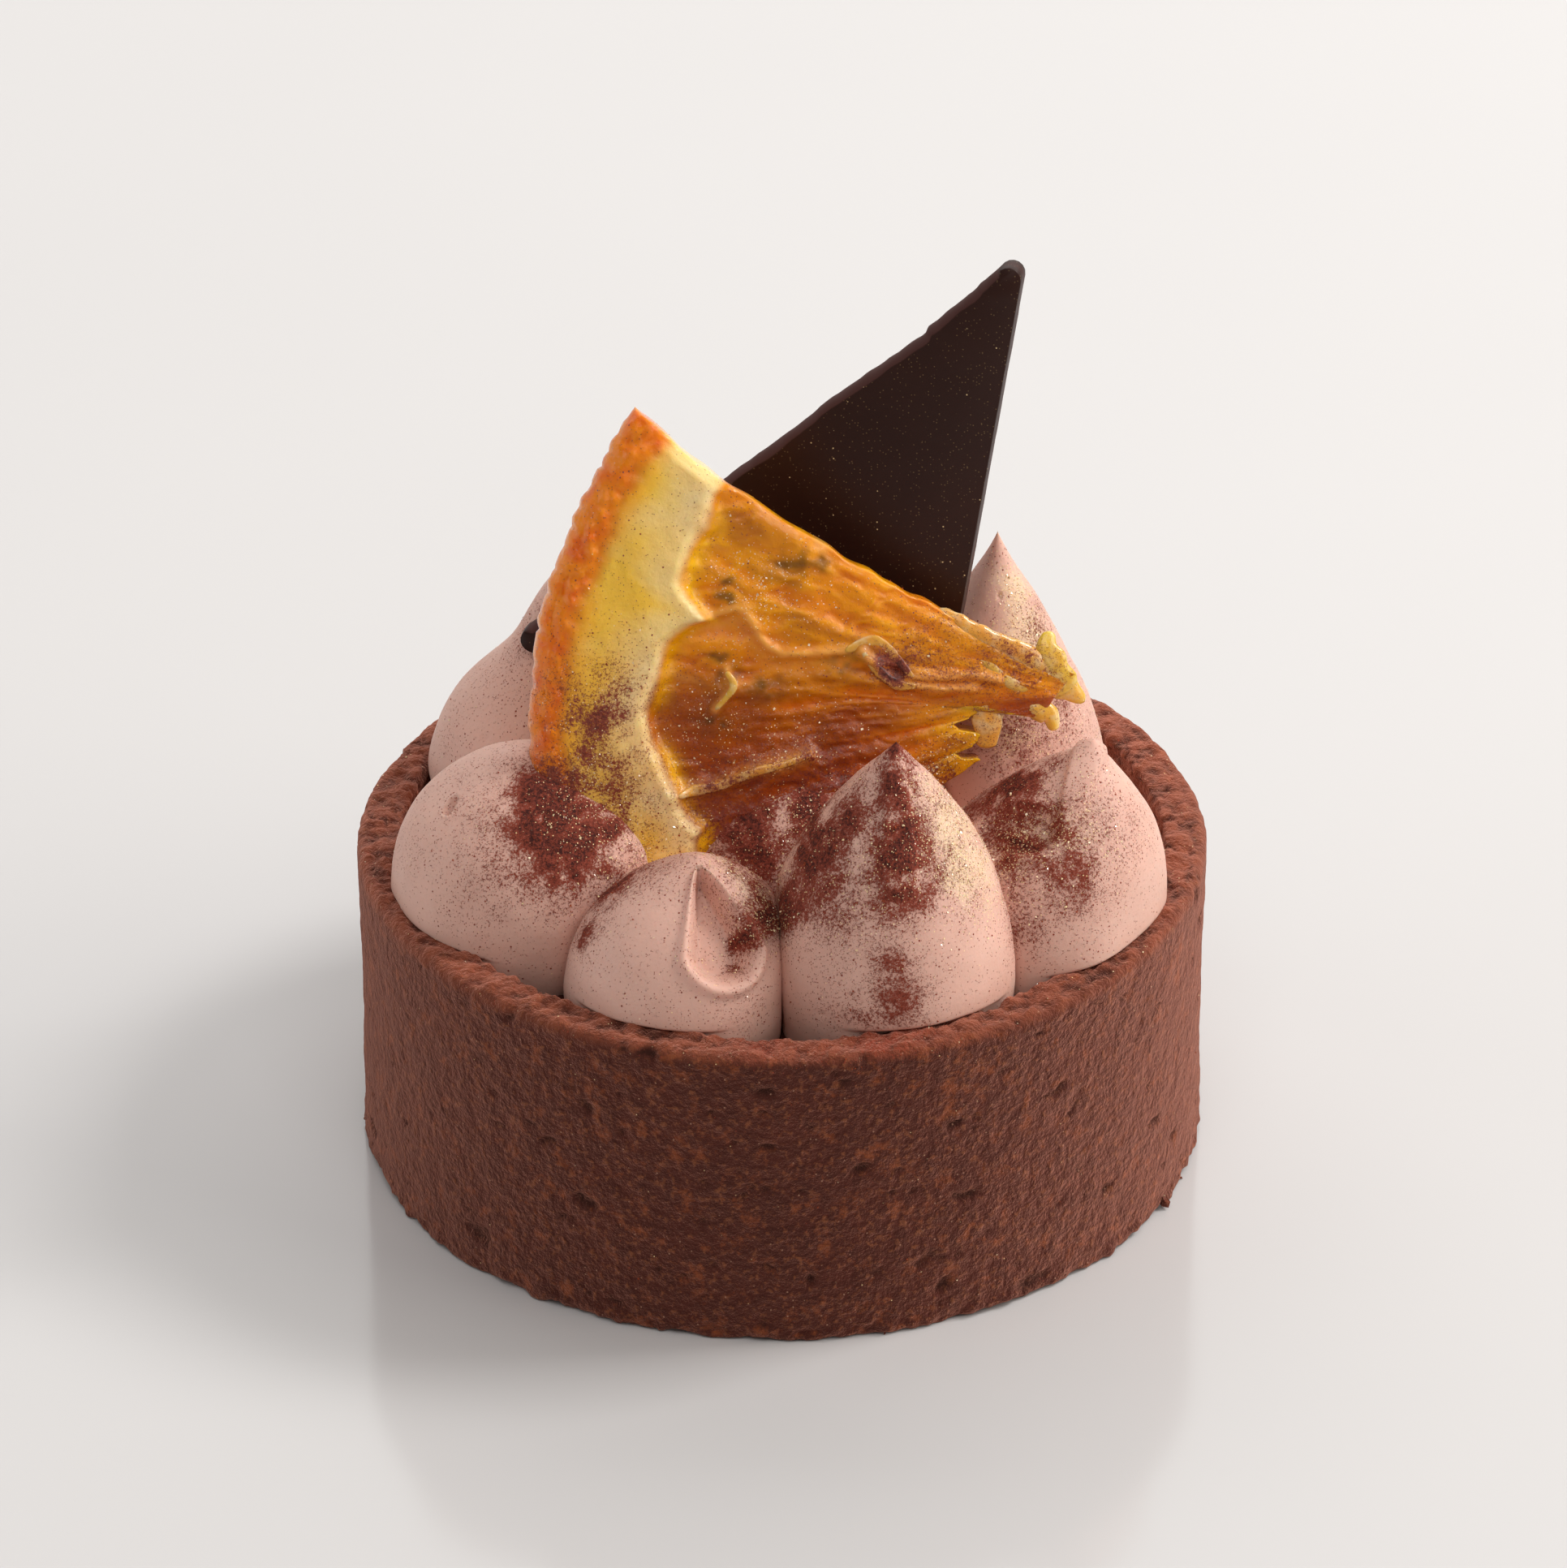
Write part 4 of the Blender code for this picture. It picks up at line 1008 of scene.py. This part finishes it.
        ring = [row * columns + i for i in range(columns)]
        for i in range(WEDGE_COLUMNS - 1):
            other = 2 * WEDGE_COLUMNS + CUT_COLUMNS - 1 - i
            face = [ring[i], ring[i + 1], ring[other - 1], ring[other]]
            faces.append(face[::-1] if flip else face)
        over = ring[WEDGE_COLUMNS - 1 : WEDGE_COLUMNS + CUT_COLUMNS + 1]
        under = ring[-CUT_COLUMNS - 1 :] + [ring[0]]
        for corner in (over, under):
            faces.append(corner[::-1] if flip else corner)
    piece = make_piece("orange_slice", grid, faces, material, marks, ["orange_wedge"])
    front_points = [part[:, :WEDGE_COLUMNS].ravel() for part in (to_peel, up_slice, out)]
    return piece, grid, normals, front_points


def orange_ribbon(name, path, widths, depths, material, yellow, seed, count=70, sides=14):
    """A skin or strand of the slice. path: places towards the peel, up and out. widths: its size in the
    slice's plane, depths: its size out of it and yellow: how yellow it is, each from one end to the other."""
    course = smooth_path(path, count)
    centre = on_wedge(course[:, 0], course[:, 1], course[:, 2])
    run = np.gradient(centre, axis=0)
    run = run / np.linalg.norm(run, axis=1, keepdims=True)
    flat = np.cross(wedge_axes()[2], run)
    flat = flat / np.linalg.norm(flat, axis=1, keepdims=True)
    lift = np.cross(run, flat)
    share = np.linspace(0, 1, count)
    uneven = 1 + 0.28 * noise(centre, 1.1, 410 + seed)
    width = np.interp(share, np.linspace(0, 1, len(widths)), widths) / 2 * uneven
    depth = np.interp(share, np.linspace(0, 1, len(depths)), depths) / 2
    close = np.sqrt(np.clip(1 - np.clip(1 - np.minimum(share, 1 - share) * count / 5, 0, 1) ** 2, 0.02, 1))
    around = np.linspace(0, 2 * math.pi, sides, endpoint=False)
    grid = centre[:, None, :] + (flat * (width * close)[:, None])[:, None, :] * np.cos(around)[:, None]
    grid = grid + (lift * (depth * close)[:, None])[:, None, :] * np.sin(around)[:, None]
    rough = 0.13 * layered_noise(grid, 0.9, 400 + seed, 2)[..., None]
    grid = grid + rough * (grid - centre[:, None, :])
    faces = tube_faces(count, sides) + flat_ends(count, sides)
    normals = grid_normals(grid, True)
    tints = np.interp(share, np.linspace(0, 1, len(yellow)), yellow)
    marks = {
        "yellow": np.repeat(tints, sides) + 0.25 * noise(grid, 0.9, 430 + seed).ravel(),
        "cocoa": cocoa_on(grid, np.abs(normals), least=0.05),
        "gold": gold_on(grid, np.abs(normals)),
    }
    return make_piece(name, grid, faces, material, marks)


def orange_skins(material, front_points):
    """The skins that stand up between the segments, and the torn strands at the point."""
    to_peel, up_slice, out = front_points

    def lying(line, lift):
        """A line on the front of the slice, lifted off it."""
        nearest = [np.argmin((to_peel - x) ** 2 + (up_slice - y) ** 2) for x, y in line]
        return [(x, y, out[i] + lift) for (x, y), i in zip(line, nearest)]

    upper_widths = [0.3, 1.4, 1.9, 2.2, 2.6, 2.2, 1.0]

    # Each with its name, its course, its widths, its depths, how yellow it is and its seed.
    skins = [
        ("seam_loop", lying(SEAM_LOOP, -0.04), [0.5, 0.9, 0.8, 0.4], [0.24], [0.1], 2),
        ("low_loop", lying(LOW_LOOP[:4], -0.06), [0.4, 0.8, 0.8, 0.5], [0.22], [0.2], 3),
        ("low_fold", lying(LOW_FOLD, 0.0), [0.5, 0.8, 0.7, 0.6, 0.4], [0.3], [0.1], 5),
        ("tear", lying(TEAR, 0.0), [0.4, 0.6, 0.4], [0.2], [0.4], 12),
        ("upper_strand", UPPER_STRAND, upper_widths, [0.5, 0.9, 1.0, 1.0], [0.0, 0.1, 0.3, 0.7], 6),
        ("bright_strand", BRIGHT_STRAND, [1.0, 1.3, 1.3, 1.1, 0.7], [0.9], [0.3, 0.6, 0.5], 7),
        ("tip_flap", TIP_FLAP, [0.8, 1.6, 2.3, 2.6, 2.2], [0.4, 0.6, 0.7, 0.8], [1.0, 0.7], 8),
        ("tip_lobe", TIP_LOBE, [1.2, 1.6, 1.4, 0.8], [1.0], [0.5], 9),
        ("dangle", DANGLE, [1.2, 2.2, 2.3, 2.2, 1.0], [0.5], [0.1, 0.3], 10),
        ("dangle_side", DANGLE_SIDE, [0.9, 1.2, 1.1, 0.6], [0.6], [0.6], 11),
    ]
    return [
        orange_ribbon("orange_" + name, path, widths, depths, material, yellow, seed)
        for name, path, widths, depths, yellow, seed in skins
    ]


# ---------------------------------------------------------------- chocolate shard

# The side that was snapped, not cut: the long one, down from the tip.
SNAP_SIDE = 0


def unit(vector):
    return vector / np.linalg.norm(vector)


def shard_outline():
    """Points round the triangle, from the tip down the snapped side, and how snapped each is: 1 on that side,
    less on the other two and 0 at the corners."""
    corners = [np.array(corner) for corner in SHARD_CORNERS]
    places, snapped = [], []
    for i, corner in enumerate(corners):
        after = corners[(i + 1) % 3]
        before = corners[i - 1]
        to_before, to_after = unit(before - corner), unit(after - corner)
        bisector = unit(to_before + to_after)
        half = math.acos(to_before @ to_after) / 2
        centre = corner + bisector * SHARD_ROUND / math.sin(half)
        facing = math.atan2(-bisector[1], -bisector[0])
        for share in np.linspace(-1, 1, 7):
            turn = facing + share * (math.pi / 2 - half)
            places.append(centre + SHARD_ROUND * np.array([math.cos(turn), math.sin(turn)]))
            snapped.append(0.0)
        next_half = math.acos(-to_after @ unit(corners[(i + 2) % 3] - after)) / 2
        start = corner + to_after * SHARD_ROUND / math.tan(half)
        end = after - to_after * SHARD_ROUND / math.tan(next_half)
        count = int(np.linalg.norm(end - start) / 0.45)
        normal = np.array([-to_after[1], to_after[0]])
        for share in np.linspace(0, 1, count + 1)[1:-1]:
            place = start + (end - start) * share
            wander = 0.0
            if i == SNAP_SIDE:
                at = np.array([[share * 55, 0.0, 0.0]])
                wander = 0.16 * layered_noise(at, 2.6, 500, 3)[0] - 0.35 * smooth_step(share, 0.155, 0.17)
                wander = wander + 0.35 * smooth_step(share, 0.17, 0.33) - 0.2 * smooth_step(share, 0.05, 0.06)
                wander = wander * smooth_step(min(share, 1 - share), 0.0, 0.04)
            places.append(place - normal * wander)
            snapped.append(1.0 if i == SNAP_SIDE else 0.35)
    return np.array(places), np.array(snapped)


def snapped_shard(material):
    """The shard as rings of its outline from one face to the other, worn at the edges."""
    outline, snapped = shard_outline()
    centre = outline.mean(axis=0)
    inward = np.roll(outline, -1, axis=0) - np.roll(outline, 1, axis=0)
    inward = np.stack([-inward[:, 1], inward[:, 0]], axis=1)
    inward = inward / np.linalg.norm(inward, axis=1, keepdims=True)
    inward = np.where(np.sum(inward * (centre - outline), axis=1, keepdims=True) > 0, inward, -inward)
    half = SHARD_THICK / 2
    broken = np.where(snapped > 0.9, 1.0, 0.0)
    flat_outline = np.column_stack([outline, np.zeros(len(outline))])
    worn = 0.06 + 0.42 * broken * (1 + 0.3 * noise(flat_outline, 2.5, 505))
    steps = [(1.25, 1.0), (1.0, 0.98), (0.55, 0.80), (0.18, 0.55), (0.0, 0.25)]
    profile = steps + [(inset, -depth) for inset, depth in steps[::-1]]
    rings, marks = [], []
    for inset, depth in profile:
        rough = layered_noise(np.column_stack([outline, 0 * worn + depth * half]), 1.1, 511, 2)
        ring = outline + inward * (inset * worn + (abs(depth) < 0.9) * 0.10 * rough * snapped)[:, None]
        rings.append(np.stack([ring[:, 0], -depth * half + 0 * worn, ring[:, 1]], axis=1))
        marks.append(broken * (inset < 1.2) + 0.35 * (inset < 0.1))
    rotate = np.array(Matrix.Rotation(-SHARD_TURN, 3, "Z") @ Matrix.Rotation(-SHARD_LEAN, 3, "X"))
    upright = np.array([SHARD_AT[0], 0.0, SHARD_AT[2]])
    grid = (np.array(rings) - upright) @ rotate.T + SHARD_AT
    rows, columns = grid.shape[:2]
    faces = tube_faces(rows, columns) + flat_ends(rows, columns)
    corner, beside, above = grid[rows // 2, 0], grid[rows // 2, 1], grid[rows // 2 + 1, 0]
    middle = grid.reshape(-1, 3).mean(axis=0)
    if np.cross(beside - corner, above - corner) @ (corner - middle) < 0:
        faces = [face[::-1] for face in faces]
    marks = {"broken": np.array(marks)}
    name = "chocolate_shard_snapped"
    return make_piece(name, grid, faces, material, marks, ["chocolate_shard"])


# ---------------------------------------------------------------- powder and crumbs

COCOA_GRAINS = 16000
GOLD_FLAKES = 9500
CRUMBS = 16
BIG_CRUMB_SIZE = 0.42
BIG_CRUMB_BEARING = math.radians(-26)


def scatter(surfaces, count, density, random):
    """Places and normals on surfaces (grids that close round), more of them where density is high. density
    takes points and their normals."""
    corners, weights = [], []
    for grid, normals in surfaces:
        following = np.roll(grid, -1, axis=1)
        a, b, c, d = grid[:-1], following[:-1], following[1:], grid[1:]
        area = np.linalg.norm(np.cross(c - a, d - b), axis=-1) / 2
        thick = density(a, normals[:-1])
        corners.append(np.stack([a, b, c, d], axis=-2).reshape(-1, 4, 3))
        weights.append((area * thick).ravel())
    corners, weights = np.concatenate(corners), np.concatenate(weights)
    chosen = random.choice(len(weights), count, p=weights / weights.sum())
    quad = corners[chosen]
    s, t = random.random((2, count, 1))
    place = (quad[:, 0] * (1 - s) + quad[:, 1] * s) * (1 - t) + (quad[:, 3] * (1 - s) + quad[:, 2] * s) * t
    normal = np.cross(quad[:, 2] - quad[:, 0], quad[:, 3] - quad[:, 1])
    return place, normal / np.maximum(np.linalg.norm(normal, axis=1, keepdims=True), 1e-9)


def open_to_sky(places, pieces):
    """Which places powder could fall on: nothing stands straight over them."""
    trees = []
    for piece in pieces:
        mesh = piece.data
        corners = np.empty(len(mesh.vertices) * 3)
        mesh.vertices.foreach_get("co", corners)
        faces = [list(face.vertices) for face in mesh.polygons]
        trees.append(BVHTree.FromPolygons(corners.reshape(-1, 3).tolist(), faces))
    fall = Vector((0.12, -0.10, 1.0)).normalized()
    clear = []
    for place in places:
        start = Vector(place * MM) + fall * 0.0003
        clear.append(not any(tree.ray_cast(start, fall)[0] for tree in trees))
    return np.array(clear)


def loose_grains(name, places, normals, sizes, shape, material, random, tilt):
    """Copies of a small shape lying on a surface, as one mesh. shape: its points and its faces."""
    corners, faces = shape
    count = len(places)
    helper = random.normal(size=(count, 3))
    normals = normals + tilt * random.normal(size=(count, 3))
    normals = normals / np.linalg.norm(normals, axis=1, keepdims=True)
    side = np.cross(normals, helper)
    side = side / np.linalg.norm(side, axis=1, keepdims=True)
    other = np.cross(normals, side)
    corners = np.asarray(corners, float)
    jitter = 1 + 0.25 * random.normal(size=(count, len(corners), 1))
    local = corners[None] * jitter * sizes[:, None, None]
    points = places[:, None] + local[..., :1] * side[:, None] + local[..., 1:2] * other[:, None]
    points = points + local[..., 2:] * normals[:, None]
    steps = np.arange(count)[:, None, None] * len(corners)
    all_faces = (np.asarray(faces)[None] + steps).reshape(-1, len(faces[0])).tolist()
    return make_piece(name, points, all_faces, material, smooth=False)


TETRAHEDRON = (
    [(0.9, 0.0, -0.3), (-0.45, 0.8, -0.3), (-0.45, -0.8, -0.3), (0.0, 0.0, 0.9)],
    [(0, 2, 1), (0, 1, 3), (1, 2, 3), (2, 0, 3)],
)
FLAKE = ([(0.7, 0.5, 0.0), (-0.6, 0.6, 0.0), (-0.7, -0.5, 0.0), (0.6, -0.6, 0.0)], [(0, 1, 2, 3)])


def crumb_shape():
    """A knobbly lump: a cube whose corners and middles are pushed about by each crumb's own jitter."""
    points = [(x, y, z) for x in (-0.6, 0.6) for y in (-0.6, 0.6) for z in (-0.6, 0.6)]
    points += [(1, 0, 0), (-1, 0, 0), (0, 1, 0), (0, -1, 0), (0, 0, 1), (0, 0, -1)]
    faces = []
    for axis, middle in ((0, 8), (0, 9), (1, 10), (1, 11), (2, 12), (2, 13)):
        sign = 1 if middle % 2 == 0 else -1
        ring = [i for i in range(8) if points[i][axis] * sign > 0]
        u, v = [k for k in range(3) if k != axis]
        ring.sort(key=lambda i: math.atan2(points[i][v], points[i][u]))
        turn = sign if axis != 1 else -sign
        for k in range(4):
            a, b = ring[k], ring[(k + 1) % 4]
            faces.append((middle, a, b) if turn > 0 else (middle, b, a))
    return points, faces


def powders(surfaces, pieces, cocoa, gold):
    """The loose cocoa and the gold flakes, where they fell on surfaces out of the shelter of pieces."""
    random = np.random.default_rng(7)

    def cocoa_density(points, normals):
        return cocoa_on(points, normals, least=0.004) * (1 + 0.8 * layered_noise(points, 1.0, 361, 2))

    def gold_density(points, normals):
        return (patchy_gold(points) + 0.01) * smooth_step(normals[..., 2], -0.1, 0.4)

    def fallen(density, count):
        place, normal = scatter(surfaces, count * 2, density, random)
        clear = open_to_sky(place, pieces)
        return place[clear][:count], normal[clear][:count]

    place, normal = fallen(cocoa_density, COCOA_GRAINS)
    size = 0.022 + 0.03 * random.random(len(place)) ** 2 + 0.08 * random.random(len(place)) ** 16
    place = place + normal * 0.02
    loose_grains("cocoa_grains", place, normal, size, TETRAHEDRON, cocoa, random, 0.5)
    place, normal = fallen(gold_density, GOLD_FLAKES)
    size = 0.028 + 0.03 * random.random(len(place)) ** 2 + 0.09 * random.random(len(place)) ** 10
    place = place + normal * 0.05
    loose_grains("gold_flakes", place, normal, size, FLAKE, gold, random, 0.45)


def pastry_crumbs(material):
    """Crumbs that cling to the foot of the case, one of them bigger and at the front right."""
    random = np.random.default_rng(11)
    angle = random.random(CRUMBS) * 2 * math.pi
    angle[0] = BIG_CRUMB_BEARING
    size = 0.08 + 0.12 * random.random(CRUMBS) ** 2
    size[0] = BIG_CRUMB_SIZE
    radius = TART_RADIUS - 0.1 + size * 0.5
    height = size * 1.15 + 0.5 * random.random(CRUMBS)
    place = np.stack([radius * np.cos(angle), radius * np.sin(angle), height], axis=1)
    normal = np.stack([np.cos(angle), np.sin(angle), 0.2 + 0 * angle], axis=1)
    loose_grains("pastry_crumbs", place, normal, size, crumb_shape(), material, random, 0.4)


# ---------------------------------------------------------------- floor, light and camera


def place_floor(material):
    half = 4.0
    corners = [(-half, -half, 0), (half, -half, 0), (half, half, 0), (-half, half, 0)]
    mesh = bpy.data.meshes.new("floor")
    mesh.from_pydata(corners, [], [(0, 1, 2, 3)])
    mesh.materials.append(material)
    floor = bpy.data.objects.new("floor", mesh)
    bpy.context.scene.collection.objects.link(floor)


def soft_light(name, azimuth, elevation, distance, width, height, power, colour):
    """A soft box that looks at the tart. azimuth: 0 is in front, 90 on the right, 180 behind."""
    light = bpy.data.lights.new(name, "AREA")
    light.shape = "RECTANGLE"
    light.size, light.size_y = width, height
    light.energy = power
    light.color = colour
    turn, rise = math.radians(azimuth), math.radians(elevation)
    away = Vector((math.sin(turn) * math.cos(rise), -math.cos(turn) * math.cos(rise), math.sin(rise)))
    lamp = bpy.data.objects.new(name, light)
    lamp.location = away * distance + Vector((0, 0, 0.02))
    lamp.rotation_euler = away.to_track_quat("Z", "Y").to_euler()
    lamp.visible_camera = False
    bpy.context.scene.collection.objects.link(lamp)


def light_studio():
    soft_light("key_high_right", 104, 46, 1.0, 0.3, 0.3, 5.2, (1.0, 0.98, 0.96))
    soft_light("key_low_right", 80, 26, 1.0, 0.7, 0.6, 4.2, (1.0, 0.95, 0.88))
    soft_light("panel_behind", 179, 34, 1.1, 2.0, 1.0, 8.8, (1.0, 0.98, 0.96))
    soft_light("soft_top_front", 4, 58, 1.1, 0.7, 0.7, 3.1, (1.0, 0.98, 0.97))
    soft_light("fill_left", -92, 16, 1.0, 0.9, 0.45, 1.8, (0.92, 0.97, 1.0))
    world = bpy.data.worlds.new("studio_air")
    bpy.context.scene.world = world
    world.use_nodes = True
    background = world.node_tree.nodes["Background"]
    background.inputs["Color"].default_value = (1.0, 0.92, 0.86, 1.0)
    background.inputs["Strength"].default_value = 0.21


CAMERA_AIM = np.array([0.13, 0.0, 29.2])
CAMERA_DISTANCE = 620.0
CAMERA_ELEVATION = math.radians(30.4)
CAMERA_LENS = 186.8


def place_camera():
    camera = bpy.data.cameras.new("camera")
    camera.sensor_fit = "HORIZONTAL"
    camera.sensor_width = 36.0
    camera.lens = CAMERA_LENS
    camera.clip_start = 0.05
    camera.clip_end = 20.0
    stand = bpy.data.objects.new("camera", camera)
    back = Vector((0.0, -math.cos(CAMERA_ELEVATION), math.sin(CAMERA_ELEVATION)))
    stand.location = Vector(CAMERA_AIM * MM) + back * CAMERA_DISTANCE * MM
    stand.rotation_euler = back.to_track_quat("Z", "Y").to_euler()
    bpy.context.scene.collection.objects.link(stand)
    bpy.context.scene.camera = stand


# ---------------------------------------------------------------- the tart

FINE_KISSES = ("cream_left", "cream_front_left", "cream_front_right", "cream_right", "cream_back_right")


def dress_tart():
    pastry = baked_cocoa_pastry()
    cream = whipped_cocoa_cream()
    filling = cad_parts["chocolate_filling"].data
    filling.materials.clear()
    filling.materials.append(set_chocolate_filling())
    surfaces, pieces = [], []
    piece, *surface = pastry_case(pastry)
    pieces.append(piece)
    surfaces.append(surface)
    for kiss in KISSES:
        rows, columns = (140, 200) if kiss.name in FINE_KISSES else (84, 120)
        piece, *surface = cream_kiss(kiss, rows, columns, cream)
        pieces.append(piece)
        surfaces.append(surface)
    piece, grid, normals, front_points = orange_slice(candied_orange())
    pieces.append(piece)
    surfaces.append((grid, normals))
    pieces += orange_skins(candied_membrane(), front_points)
    pieces.append(snapped_shard(tempered_dark_chocolate()))
    powders(surfaces, pieces, cocoa_powder(), gold_lustre())
    pastry_crumbs(pastry)


bpy.context.scene.view_settings.view_transform = "Standard"
place_camera()
light_studio()
place_floor(pale_floor())
dress_tart()
